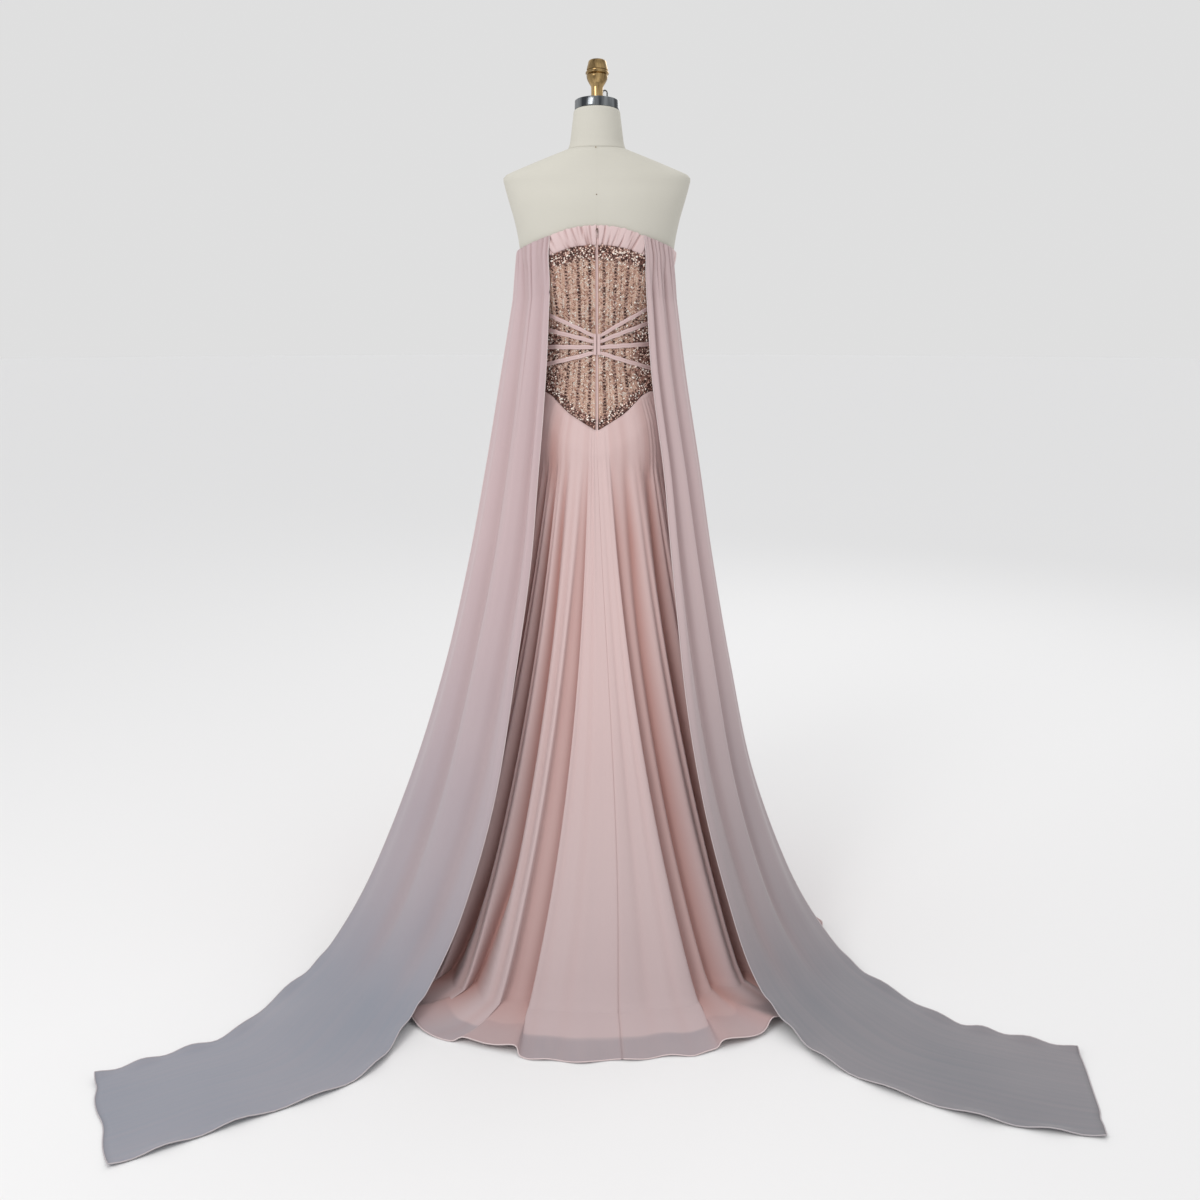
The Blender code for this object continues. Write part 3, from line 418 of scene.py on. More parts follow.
def makeForm(canvas):
    # the torso: the form's radius over angle and height, with shallow seams; flat ends close it
    sections = formShape["sections"]["height"]
    heights = between(sections[-1], sections[0], formShape["rows"])[:, None]
    angles = np.arange(formShape["columns"])[None, :] * 360.0 / formShape["columns"]
    seam = sum(strength * bell(awayFrom(angles, place) / formShape["seamWidth"])
               for place, strength in formShape["seams"].items())
    seam = seam * smoothStep(heights, 0.9, 0.95)
    radius = formRadius(angles, heights) - formShape["seamDepth"] * seam
    grid = polar(angles, radius, heights)
    top = grid[:1] * np.array([0.02, 0.02, 1.0])
    bottom = grid[-1:] * np.array([0.02, 0.02, 1.0])
    seam = np.concatenate([np.zeros((1, seam.shape[1])), seam, np.zeros((1, seam.shape[1]))])
    mesh = gridMesh("formTorsoCanvas", np.concatenate([top, grid, bottom]), around=True, seam=0.35 * seam)
    addPiece(mesh, canvas, ["form_torso"])


def tilted(points):  # turned by the cap's tilt about the middle of the neck's top
    pivot = np.array([0.0, 0.0, neckShape["profile"]["height"][-1] + neckShape["gap"]])
    turn = np.array(Matrix.Rotation(neckShape["tilt"], 3, "X") @ Matrix.Rotation(-neckShape["roll"], 3, "Y"))
    return points @ turn.T + pivot


def makeNeck(canvas):  # the neck: its profile turned round Z and cut at the cap's tilt, with a piped base seam
    heights = neckShape["profile"]["height"]
    angles = np.arange(96)[None, :] * 3.75
    level = between(1.0, 0.0, 60)[:, None]
    height = heights[0] + (heights[-1] - heights[0]) * level
    radius = smoothCurve(height, heights, neckShape["profile"]["radius"])
    turn = np.radians(angles)
    slope = math.tan(neckShape["tilt"]) * np.cos(turn) + math.tan(neckShape["roll"]) * np.sin(turn)
    edge = neckShape["edgeRound"]
    below = np.clip((height - heights[-1] + edge) / edge, 0.0, 1.0)
    radius = radius - edge * 0.6 * (1.0 - np.sqrt(1.0 - 0.96 * below ** 2))
    grid = polar(angles, radius, height + slope * radius * level)
    top = grid[:1] * np.array([0.02, 0.02, 1.0])
    top[..., 2] = grid[0, :, 2].mean()
    bottom = grid[-1:] * np.array([0.02, 0.02, 1.0])
    seam = np.zeros((62, 1))
    seam[-3:] = 0.22
    mesh = gridMesh("formNeckCanvas", np.concatenate([top, grid, bottom]), around=True, seam=seam)
    addPiece(mesh, canvas, ["form_neck"])


capShape = {"radius": 0.0432, "height": 0.0180, "bend": 0.0020, "steps": 128}
finialProfile = [
    # radius and rise, from the top down: domed cylinder, groove, rim, ball, stem
    (0.0002, 0.0771), (0.0060, 0.0770), (0.0100, 0.0766), (0.0148, 0.0755), (0.0168, 0.0740), (0.0176, 0.0720),
    (0.0182, 0.0684), (0.0194, 0.0640), (0.0204, 0.0596), (0.0207, 0.0580), (0.0202, 0.0570), (0.0188, 0.0564),
    (0.0188, 0.0550), (0.0204, 0.0545), (0.0220, 0.0537), (0.0226, 0.0524), (0.0226, 0.0508), (0.0219, 0.0498),
    (0.0202, 0.0492), (0.0192, 0.0484), (0.0202, 0.0474), (0.0207, 0.0462), (0.0202, 0.0428), (0.0190, 0.0389),
    (0.0166, 0.0345), (0.0146, 0.0312), (0.0130, 0.0288), (0.0120, 0.0268), (0.0116, 0.0240), (0.0115, 0.0200),
    (0.0115, 0.0060), (0.0118, 0.0030), (0.0126, 0.0010), (0.0128, -0.0012), (0.0002, -0.0012),
]


def makeCapAndFinial(chrome, brass):  # both turned from a profile, then tilted with the neck's top
    height = capShape["height"]
    edge = softCorners([(0.0002, height), (capShape["radius"], height), (capShape["radius"], 0.0), (0.0002, 0.0)],
                       capShape["bend"])
    cap = turnedMesh("neckCapChrome", edge, capShape["steps"])
    finial = turnedMesh("finialBrass", finialProfile, 96)
    for mesh, lift, material, slot, replaced in ((cap, 0.0, chrome, "chrome", "neck_cap"),
                                                 (finial, height + neckShape["gap"], brass, "brass", "finial")):
        points = np.empty(len(mesh.vertices) * 3, dtype=np.float32)
        mesh.vertices.foreach_get("co", points)
        points = tilted(points.reshape(-1, 3) + np.array([0.0, 0.0, lift]))
        mesh.vertices.foreach_set("co", points.astype(np.float32).ravel())
        piece = addPiece(mesh, material, [replaced])
        piece.data.set_sharp_from_angle(angle=math.radians(35))


pinPlaces = {"neckPin": (2.0, 1.5445, 0.0006), "backPin": (0.3, 1.4555, 0.0004)}


def makePins(brass):  # two small pin heads on the form's centre back
    for name, (angle, height, out) in pinPlaces.items():
        place = polar(angle, formRadius(angle, height) + out, height)
        around = between(0.0, 180.0, 9)
        profile = np.stack([0.0011 * np.sin(np.radians(around)) + 1e-5, 0.0011 * np.cos(np.radians(around))], axis=-1)
        mesh = turnedMesh(name, profile, 16)
        mesh.transform(Matrix.Translation(Vector(place)))
        addPiece(mesh, brass)


# The gown's edges and the bodice

neckline = {
    "edge": tableOf("angle height", [
        (0, 1.398), (27, 1.393), (45, 1.379), (54, 1.371), (72, 1.357), (90, 1.350),
        (108, 1.352), (126, 1.366), (153, 1.385), (180, 1.380),
    ]),
    "soften": 8.0,
    "bandHeight": 0.036,
}
basque = {
    "edge": tableOf("angle height", [
        (0, 1.011), (27, 1.045), (45, 1.078), (54, 1.086), (63, 1.084), (90, 1.045),
        (117, 1.078), (126, 1.080), (153, 1.045), (180, 1.005),
    ]),
    "soften": 3.0,
}
sideAngle = 90.0
panels = {"BackRight": (-sideAngle, 0.0), "BackLeft": (0.0, sideAngle), "Front": (sideAngle, 360.0 - sideAngle)}
cadPanels = {"BackRight": "back_right", "BackLeft": "back_left", "Front": "front"}


def edgeHeight(edge, angle):  # the edge's height, averaged over a few degrees so that its corners are soft
    offsets = between(-1.0, 1.0, 7) * edge["soften"]
    table = edge["edge"]
    total = 0.0
    for offset in offsets:
        total = total + np.interp(np.abs(awayFrom(angle + offset, 0.0)), table["angle"], table["height"])
    return total / len(offsets)


def panelAngles(start, end, step, slot):  # a panel's angles, an even step apart and kept off the zip
    angles = between(start, end, int((end - start) / step) + 1)
    return np.clip(angles, slot if start == 0 else start, -slot if end == 0 else end)[None, :]


def bandTop(angle):  # the height of the neckline
    return edgeHeight(neckline, angle)


bodiceShape = {
    "out": 0.0022,
    "rows": 44,
    "stepAngle": 1.5,
    "zipSlot": 1.6,
    "topBorder": 0.023,
    "seamBorder": 0.019,
    "thickness": 0.0008,
    "cutWidth": {"BackRight": 0.185, "BackLeft": 0.185, "Front": 0.43},
    "cutLength": 0.345,
}


def bodicePoints(angle, height, out=bodiceShape["out"]):  # a place just outside the form
    return polar(angle, gownRadius(angle, height, out), height)


def borderShare(angle, height):
    # 1 in the crystal borders under the band and over the basque seam and in the side clusters, 0 elsewhere
    top = bandTop(angle) - neckline["bandHeight"]
    bottom = edgeHeight(basque, angle)
    share = smoothStep(height, top - bodiceShape["topBorder"] - 0.004, top - bodiceShape["topBorder"] + 0.002)
    share = np.maximum(share, 1.0 - smoothStep(height, bottom + bodiceShape["seamBorder"] - 0.003,
                                               bottom + bodiceShape["seamBorder"] + 0.004))
    round_ = np.abs(awayFrom(angle, 0.0))
    side = smoothStep(round_, 32.0, 48.0) * (1 - smoothStep(round_, 100.0, 125.0))
    side = side * smoothStep(height, 1.08, 1.12) * (1 - smoothStep(height, 1.20, 1.235))
    return np.clip(np.maximum(share, 0.75 * side), 0.0, 1.0)


def makeBodice(tulle):  # three panels from under the band down to the basque's edge
    sheets = {}
    for name, (start, end) in panels.items():
        angles = panelAngles(start, end, bodiceShape["stepAngle"], bodiceShape["zipSlot"])
        top = bandTop(angles) - neckline["bandHeight"] + 0.006
        bottom = edgeHeight(basque, angles) - 0.001
        height = top + (bottom - top) * between(0.0, 1.0, bodiceShape["rows"])[:, None]
        grid = bodicePoints(angles, height)
        mesh = gridMesh("bodice" + name, grid, border=borderShare(angles, height))
        piece = addPiece(mesh, tulle, ["bodice_" + cadPanels[name]])
        sheets[name] = thicken(piece, bodiceShape["thickness"])
    return sheets


# Beads and crystals: small templates repeated over the bodice

def surfaceFrames(angle, height, out):
    # a place on the bodice with its directions: across (towards larger angles), up and outwards
    step = 0.3
    rise = 0.002
    place = bodicePoints(angle, height, out)
    across = bodicePoints(angle + step, height, out) - bodicePoints(angle - step, height, out)
    up = bodicePoints(angle, height + rise, out) - bodicePoints(angle, height - rise, out)
    across /= np.linalg.norm(across, axis=-1, keepdims=True)
    up /= np.linalg.norm(up, axis=-1, keepdims=True)
    outward = np.cross(up, across)
    outward /= np.linalg.norm(outward, axis=-1, keepdims=True)
    up = np.cross(across, outward)
    return place, across, up, outward


def repeated(name, template, faces, frames, size, turn, tilt, toneAndGlint):
    # each copy: the template scaled, turned in the cloth's plane, tilted, and put at its place
    place, across, up, outward = frames
    cos, sin = np.cos(turn)[:, None], np.sin(turn)[:, None]
    first = across * cos + up * sin
    second = up * cos - across * sin
    outward = outward + first * tilt[:, :1] + second * tilt[:, 1:]
    outward /= np.linalg.norm(outward, axis=-1, keepdims=True)
    first = first - outward * np.sum(first * outward, axis=-1, keepdims=True)
    first /= np.linalg.norm(first, axis=-1, keepdims=True)
    second = np.cross(outward, first)
    size = np.broadcast_to(size, (len(place), 3))
    points = place[:, None]
    for axis, direction in enumerate((first, second, outward)):
        points = points + template[None, :, axis, None] * size[:, axis, None, None] * direction[:, None]
    index = faces[None] + (np.arange(len(place)) * len(template))[:, None, None]
    mesh = meshFrom(name, points.reshape(-1, 3), index.reshape(-1, faces.shape[1]))
    value = np.repeat(toneAndGlint, len(template)).astype(np.float32)
    mesh.attributes.new("toneAndGlint", "FLOAT", "POINT").data.foreach_set("value", value)
    return mesh


def gemTemplate(sides):
    # a faceted gem: a flat table on top, a ring of crown facets and a flat back, one unit across
    turn = np.arange(sides) * 2 * np.pi / sides
    table = np.stack([0.26 * np.cos(turn), 0.26 * np.sin(turn), np.full(sides, 0.42)], axis=-1)
    girdle = np.stack([0.5 * np.cos(turn), 0.5 * np.sin(turn), np.full(sides, 0.10)], axis=-1)
    back = np.array([[0.0, 0.0, 0.42], [0.0, 0.0, -0.05]])
    points = np.concatenate([table, girdle, back])
    ring = np.arange(sides)
    after = (ring + 1) % sides
    faces = [
        np.stack([np.full(sides, 2 * sides), ring, after], axis=-1),
        np.stack([ring, ring + sides, after], axis=-1),
        np.stack([after, ring + sides, after + sides], axis=-1),
        np.stack([np.full(sides, 2 * sides + 1), after + sides, ring + sides], axis=-1),
    ]
    return points, np.concatenate(faces)


def bugleTemplate():  # a short four-sided bar with pointed ends, one unit long and wide
    points = np.array([
        (-0.5, 0.0, 0.1), (-0.38, -0.5, 0.1), (-0.38, 0.0, 0.5), (-0.38, 0.5, 0.1),
        (0.38, -0.5, 0.1), (0.38, 0.0, 0.5), (0.38, 0.5, 0.1), (0.5, 0.0, 0.1),
    ])
    faces = np.array([
        (0, 1, 2), (0, 2, 3), (0, 3, 1), (1, 4, 5), (1, 5, 2), (2, 5, 6), (2, 6, 3),
        (3, 6, 4), (3, 4, 1), (4, 7, 5), (5, 7, 6), (6, 7, 4),
    ])
    return points, faces


beadwork = {
    "firstColumn": 8.0,           # degrees from the zip to the first dark column, and from column to column
    "columnStep": 12.0,
    "gemPitch": 0.0062,
    "gemSize": 0.0050,
    "sidePitch": 0.0034,
    "sideSize": 0.0029,
    "chevronPitch": 0.0036,
    "chevronLength": 0.0056,
    "chevronWidth": 0.0020,
    "chevronRows": (2.75, 4.75),  # degrees from a column to the middle of each bar
    "chevronTilt": 42.0,
    "borderPitch": 0.0032,
    "borderSize": 0.0042,
    "scatterCount": 1500,
    "scatterSize": 0.0044,
    "lift": 0.0006,
}


def columnPlaces(pitch, offset):
    # angles and heights down every bead column, moved away from the zip by an offset in degrees
    columns = beadwork["firstColumn"] + beadwork["columnStep"] * np.arange(15) + offset
    starts = np.concatenate([columns, -columns])
    count = int(0.36 / pitch)
    angle = np.repeat(starts, count)
    step = np.tile(np.arange(count), len(starts))
    top = bandTop(angle) - neckline["bandHeight"]
    height = top - pitch * (step + 0.5)
    keep = (height > edgeHeight(basque, angle)) & (np.abs(awayFrom(angle, 0.0)) > 2.2)
    keep &= chance.uniform(0, 1, len(angle)) > borderShare(angle, height)
    return angle[keep], height[keep], np.sign(angle[keep])


def scattered(name, template, angle, height, size, spread, material, turn=None, lift=0.0, tones=(0.0, 1.0)):
    # beads at given places, each with its own size, turn, tilt and tone
    count = len(angle)
    points, faces = template
    frames = surfaceFrames(angle, height, bodiceShape["out"] + beadwork["lift"] + lift)
    turn = chance.uniform(0, 3, count) if turn is None else turn
    mesh = repeated(name, points, faces, frames, np.array(size) * chance.uniform(0.8, 1.15, (count, 1)), turn,
                    chance.normal(0, spread, (count, 2)), chance.uniform(*tones, count))
    return addPiece(mesh, material, smooth=False)


def makeBeads(dark, gold, bright, mixed):
    # dark columns, seed beads beside them, chevrons of bars between, a filled border, and a few large ones
    small, medium, gem, large = (gemTemplate(sides) for sides in (4, 5, 6, 8))
    made = []

    angle, height, _ = columnPlaces(beadwork["gemPitch"], 0.0)
    angle = angle + chance.normal(0.0, 0.22, len(angle))
    made.append(scattered("darkBeadColumns", gem, angle, height, [beadwork["gemSize"]] * 3, 0.35, dark, lift=0.0004))

    places = [columnPlaces(beadwork["sidePitch"], offset) for offset in (-1.3, 1.3, 6.0)]
    angle, height = (np.concatenate([place[part] for place in places]) for part in (0, 1))
    angle = angle + chance.normal(0.0, 0.15, len(angle))
    made.append(scattered("seedBeads", small, angle, height, [beadwork["sideSize"]] * 3, 0.35, mixed))

    groups = []
    for way in (-1.0, 1.0):
        for row, offset in enumerate(beadwork["chevronRows"]):
            angle, height, side = columnPlaces(beadwork["chevronPitch"], way * offset)
            lean = way * side * (1.0 if row % 2 == 0 else -1.0) * math.radians(beadwork["chevronTilt"])
            groups.append((angle, height, lean))
    angle, height, turn = (np.concatenate(part) for part in zip(*groups))
    turn = turn + chance.normal(0, 0.14, len(turn))
    size = [beadwork["chevronLength"], beadwork["chevronWidth"], beadwork["chevronWidth"]]
    made.append(scattered("goldChevrons", bugleTemplate(), angle, height, size, 0.22, gold, turn))

    pitch = beadwork["borderPitch"]
    angles = np.arange(0.0, 360.0, math.degrees(pitch / 0.118))
    heights = np.arange(1.0, 1.39, pitch * 0.92)
    angle, height = (part.ravel() for part in np.meshgrid(angles, heights))
    angle = angle + chance.normal(0, 0.40, angle.size)
    height = height + chance.normal(0, 0.0007, height.size)
    top = bandTop(angle) - neckline["bandHeight"]
    keep = (height < top + 0.001) & (height > edgeHeight(basque, angle) + 0.0012)
    keep &= np.abs(awayFrom(angle, 0.0)) > 1.9
    keep &= chance.uniform(0, 1, angle.size) < borderShare(angle, height)
    angle, height = angle[keep], height[keep]
    made.append(scattered("borderCrystals", medium, angle, height, [beadwork["borderSize"]] * 3, 0.55, mixed,
                          lift=chance.uniform(0, 0.0008, len(angle))))

    count = beadwork["scatterCount"]
    angle = chance.uniform(0, 360, count)
    top = bandTop(angle) - neckline["bandHeight"]
    bottom = edgeHeight(basque, angle)
    height = bottom + (top - bottom) * chance.uniform(0.02, 0.98, count)
    keep = np.abs(awayFrom(angle, 0.0)) > 2.6
    keep &= chance.uniform(0, 1, count) < 0.30 + 0.70 * borderShare(angle, height)
    angle, height = angle[keep], height[keep]
    made.append(scattered("brightCrystals", large, angle, height, [beadwork["scatterSize"]] * 3, 0.30, bright,
                          lift=0.0012))
    return made


# The gathered band

bandShape = {
    "out": 0.0044,
    "puff": 0.0024,
    "rollRows": 6,
    "rows": 20,
    "stepAngle": 0.36,
    "frontStep": 0.54,
    "gathers": 175,
    "gatherDepth": 0.0030,
    "fan": 8.0,
    "zipSlot": 0.9,
    "thickness": 0.0006,
    "cutWidth": {"BackRight": 0.21, "BackLeft": 0.21, "Front": 0.44},
    "cutLength": 0.046,
}
bandGathers = {
    "angle": np.sort(chance.uniform(0, 360, bandShape["gathers"])),
    "width": chance.uniform(0.45, 0.95, bandShape["gathers"]),
    "depth": chance.uniform(0.25, 1.0, bandShape["gathers"]),
    "slant": chance.normal(0.0, 0.8, bandShape["gathers"]),
    "reach": chance.uniform(0.25, 0.85, bandShape["gathers"]),
    "from": chance.choice([0.0, 0.85, 1.0], bandShape["gathers"]),
}


def bandGrooves(angle, share):
    # sum of narrow bells across the band, up to 1; each leans outwards and fades from the edge it starts at
    total = np.zeros(np.broadcast(angle, share).shape)
    for place, width, depth, slant, reach, start in zip(*bandGathers.values()):
        fan = -bandShape["fan"] * math.tanh(3 * math.sin(math.radians(place)))
        apart = awayFrom(angle, place + (slant + fan) * (share - 0.5)) / width
        total = total + depth * bell(apart) * np.exp(-(np.abs(share - start) / reach) ** 2)
    return np.minimum(total, 1.0)


def underStreamer(angle):  # 1 where a streamer covers the band
    round_ = np.abs(awayFrom(angle, 0.0))
    last = np.where(awayFrom(angle, 0.0) > 0, streamerShape["toAngle"]["left"], streamerShape["toAngle"]["right"])
    return smoothStep(round_, streamerShape["fromAngle"] + 0.5, streamerShape["fromAngle"] + 3) * (
        1 - smoothStep(round_ - last, -3.0, -0.5))


def bandPoints(angle, share):
    # the band's cloth: share -0.15 to 0 rolls over the top edge, 0 to 1 goes down the outside
    down = np.clip(share, 0.0, 1.0)
    roll = np.clip(-share / 0.15, 0.0, 1.0)
    top = bandTop(angle)
    wobble = 0.0006 * np.sin(np.radians(angle) * 61) + 0.0005 * np.sin(np.radians(angle) * 37 + 1)
    height = top + wobble * (1 - down) - neckline["bandHeight"] * down
    height = height + 0.0014 * np.sin(np.pi * roll) - 0.003 * np.maximum(roll - 0.5, 0)
    puff = bandShape["puff"] * np.sin(np.pi * np.clip(down * 0.92 + 0.08, 0, 1)) ** 0.6
    ripple = -bandShape["gatherDepth"] * bandGrooves(angle, down)
    full = (puff + ripple) * (1 - underStreamer(angle)) + bandShape["out"] - 0.0014 * underStreamer(angle)
    out = 0.0012 + (full - 0.0012) * (1 - roll) ** 0.8
    tuck = 0.0022 * smoothStep(down, 0.93, 1.0)
    return polar(angle, gownRadius(angle, np.minimum(height, top), out - tuck), height)


def makeBand(chiffon):  # three panels, gathered, with painted shade in the grooves and along the lower edge
    shares = np.concatenate([between(-0.15, 0.0, bandShape["rollRows"]), between(0.0, 1.0, bandShape["rows"])[1:]])
    for name, (start, end) in panels.items():
        step = bandShape["frontStep"] if name == "Front" else bandShape["stepAngle"]
        angles = panelAngles(start, end, step, bandShape["zipSlot"])
        share = shares[:, None]
        grid = bandPoints(angles, share)
        # depth paints shade into the gather grooves and along the tucked lower edge
        depth = 0.62 * bandGrooves(angles, np.clip(share, 0, 1)) + 0.10 * smoothStep(share, 0.75, 1.0)
        mesh = gridMesh("neckBand" + name, grid, grain=(angles / 360 * 1.2, share * 0.04), single=0.0, depth=depth)
        piece = thicken(addPiece(mesh, chiffon, ["band_" + cadPanels[name]]), bandShape["thickness"])


# Waist straps

strapShape = {
    "heights": tableOf("join left right", [
        (1.1920, 1.234, 1.244), (1.1815, 1.203, 1.215), (1.1710, 1.171, 1.176), (1.1605, 1.138, 1.132),
    ]),
    "width": 0.0084,
    "thick": 0.0016,
    "middleOut": 0.0052,
    "passAngle": 55.0,
    "nearX": 0.0062,
    "farAngle": 90.0,
    "waistRadius": 0.092,
    "cutWidth": 0.0100,
    "join": {"top": 1.1965, "bottom": 1.1560, "near": 0.0010, "far": 0.0064},
}


def strapSection(sides):  # a flat loop, rounded at both edges, with a shallow crease down its middle
    turn = np.arange(sides) * 2 * np.pi / sides
    across = 0.5 * np.sign(np.cos(turn)) * np.abs(np.cos(turn)) ** 0.6
    out = 0.5 * np.sign(np.sin(turn)) * np.abs(np.sin(turn)) ** 0.9
    return across, out - 0.14 * bell(across / 0.12) * (out > 0)


def makeStraps(chiffon):
    # each strap: its section carried along a line that is straight in angle and height, narrower at the zip
    across, out = strapSection(20)
    rows = strapShape["heights"]
    for side, turnSign in (("left", 1.0), ("right", -1.0)):
        for number in range(len(rows["join"])):
            near = math.degrees(strapShape["nearX"] / strapShape["waistRadius"])
            angle = between(near, strapShape["farAngle"] - 0.4, 90)[:, None]
            slope = (rows[side][number] - rows["join"][number]) / (strapShape["passAngle"] - near)
            middle = rows["join"][number] + slope * (angle - near)
            narrow = 0.75 + 0.25 * smoothStep(angle, near, near + 9)
            wave = 0.0003 * np.sin(np.radians(angle) * 23 + number)
            height = middle + wave + across[None, :] * strapShape["width"] * narrow
            reach = strapShape["middleOut"] + out[None, :] * strapShape["thick"]
            grid = polar(turnSign * angle, gownRadius(turnSign * angle, height, reach), height)
            grid = closedEnds(grid)
            if turnSign > 0:
                grid = grid[:, ::-1]
            # painted shade down the crease in the strap's middle
            shade = 0.25 * bell(across / 0.15) * (out > 0)
            name = "waistStrap%s%d" % (side.capitalize(), number + 1)
            spread = between(0.0, 0.15, len(grid))[:, None]
            mesh = gridMesh(name, grid, around=True, grain=(spread, across[None, :] * 0.01), single=0.0,
                            depth=shade[None, :] if turnSign < 0 else shade[None, ::-1])
            piece = addPiece(mesh, chiffon, ["strap_%s_%d" % (side, number + 1)])
    join = strapShape["join"]
    for side, turnSign in (("left", 1.0), ("right", -1.0)):
        height = between(join["top"], join["bottom"], 30)[:, None]
        middle = 0.5 * (join["near"] + join["far"])
        place = middle + across[None, :] * (join["far"] - join["near"])
        angle = turnSign * np.degrees(place / strapShape["waistRadius"])
        reach = strapShape["middleOut"] + 0.0008 + out[None, :] * 0.0015
        grid = polar(angle, gownRadius(angle, height, reach), height)
        grid = closedEnds(grid)
        if turnSign < 0:
            grid = grid[:, ::-1]
        # depth 0.05 paints a faint even shade over the join
        mesh = gridMesh("strapJoin" + side.capitalize(), grid, around=True,
                        grain=(across[None, :] * 0.01, between(0, 0.04, 32)[:, None]), single=0.0, depth=0.05)
        piece = addPiece(mesh, chiffon, ["strap_join_" + side])


# The closed zip: two lips of cloth that meet over the coil

zipShape = {"half": 0.0026, "bottom": 0.9815, "top": 1.3975, "out": 0.0030, "lip": 0.0012, "groove": 0.0010,
            "rows": 170, "columns": 17}


def makeZip(material):  # a strip with a bell for each lip and a groove between, proud of the band at its top
    height = between(zipShape["top"], zipShape["bottom"], zipShape["rows"])[:, None]
    x = between(-1.0, 1.0, zipShape["columns"])[None, :]
    lip = zipShape["lip"] * (bell((x + 0.30) / 0.35) + 0.6 * bell((x - 0.75) / 0.20))
    groove = zipShape["groove"] * bell((x - 0.36) / 0.12)
    out = np.interp(height, [zipShape["bottom"], 1.005, 1.02], [0.0066, 0.0050, zipShape["out"]])
    out = out + 0.0016 * smoothStep(height, 1.362, 1.370)
    radius = gownRadius(0.0, height, out) + lip - groove
    radius = radius - 0.0020 * np.clip(np.abs(x) - 0.8, 0, 1) / 0.2
    grid = np.stack(np.broadcast_arrays(x * zipShape["half"], radius, height), axis=-1)
    # painted shade down the groove where the two lips meet
    depth = np.broadcast_to(0.85 * bell((x - 0.36) / 0.13), radius.shape)
    mesh = gridMesh("backZip", grid, grain=(x * 0.003, height), single=0.0, depth=depth)
    piece = thicken(addPiece(mesh, material, ["zip_strip"]), 0.0006)


# The skirt

skirtShape = {
    "hem": tableOf("angle touch hem", [
        (0, 0.545, 0.684), (15, 0.550, 0.685), (30, 0.535, 0.662), (45, 0.505, 0.610),
        (60, 0.465, 0.543), (75, 0.423, 0.462), (90, 0.396, 0.418), (120, 0.383, 0.398),
        (150, 0.380, 0.394), (180, 0.380, 0.394),
    ]),
    "touchHeight": 0.020,
    "landing": 0.085,
    "flareStraight": 0.62,
    "flarePower": 2.5,
    "foldDepth": 0.052,
    "foldStart": 0.85,
    "hemScallop": 0.2,
    "seamLine": (0.0, -5.0, -4.0),
    "out": 0.0042,
    "ease": 0.0075,
    "easeDrop": 0.05,
    "leanReach": 1.25,
    "lieOnFloor": 0.0014,
    "hemLift": 0.017,
    "lineFrom": 0.030,
}
# Each fold's valley: its angle at the seam, half way down and at the hem, its depth as a share, its half
# width in degrees, and which way the ridges lean over it while they hang and where they lie
skirtFolds = tableOf("top middle hem depth width lean lay", [
    (-172, -171, -171, 0.55, 3.0, 0.6, 0.6),
    (-158, -158, -159, 0.70, 3.2, 0.8, 0.8),
    (-145, -146, -146, 0.60, 3.0, -0.5, -0.5),
    (-131, -131, -132, 0.80, 3.2, 0.9, 0.9),
    (-118, -118, -117, 0.60, 3.0, 0.6, 0.6),
    (-105, -104, -104, 0.75, 3.2, -0.7, -0.7),
    (-82, -81, -80, 0.70, 3.0, 0.8, 0.8),
    (-70, -69, -67, 0.80, 3.2, 0.9, 0.9),
    (-57, -55, -52, 0.85, 3.0, 0.9, 0.9),
    (-42, -38, -35.0, 1.10, 2.4, 1.2, 1.0),
    (-22, -24.2, -26.5, 0.95, 1.7, 1.2, 1.1),
    (-11, -16.8, -22.4, 0.80, 1.9, 1.1, 1.1),
    (7, 9.8, 14.7, 0.70, 1.2, -1.2, -1.2),
    (10, 13, 16.6, 0.50, 0.9, 1.2, 1.2),
    (25, 23.5, 24.0, 0.95, 1.5, -1.1, 1.2),
    (33, 31.2, 31.0, 1.15, 1.7, -1.2, 1.2),
    (41, 39, 38.5, 0.95, 2.0, -1.1, 0.7),
    (50, 48, 47.5, 0.90, 2.6, -1.1, -0.8),
    (63, 61, 60, 0.80, 3.2, -0.8, -0.8),
    (77, 75, 74, 0.70, 3.0, 0.7, 0.7),
    (103, 104, 105, 0.80, 3.2, -0.8, -0.8),
    (117, 118, 118, 0.60, 3.0, 0.6, 0.6),
    (130, 131, 131, 0.75, 3.2, 0.9, 0.9),
    (144, 145, 146, 0.65, 3.0, -0.7, -0.7),
    (158, 158, 158, 0.75, 3.2, -0.8, -0.8),
    (171, 172, 172, 0.50, 3.0, 0.6, 0.6),
])
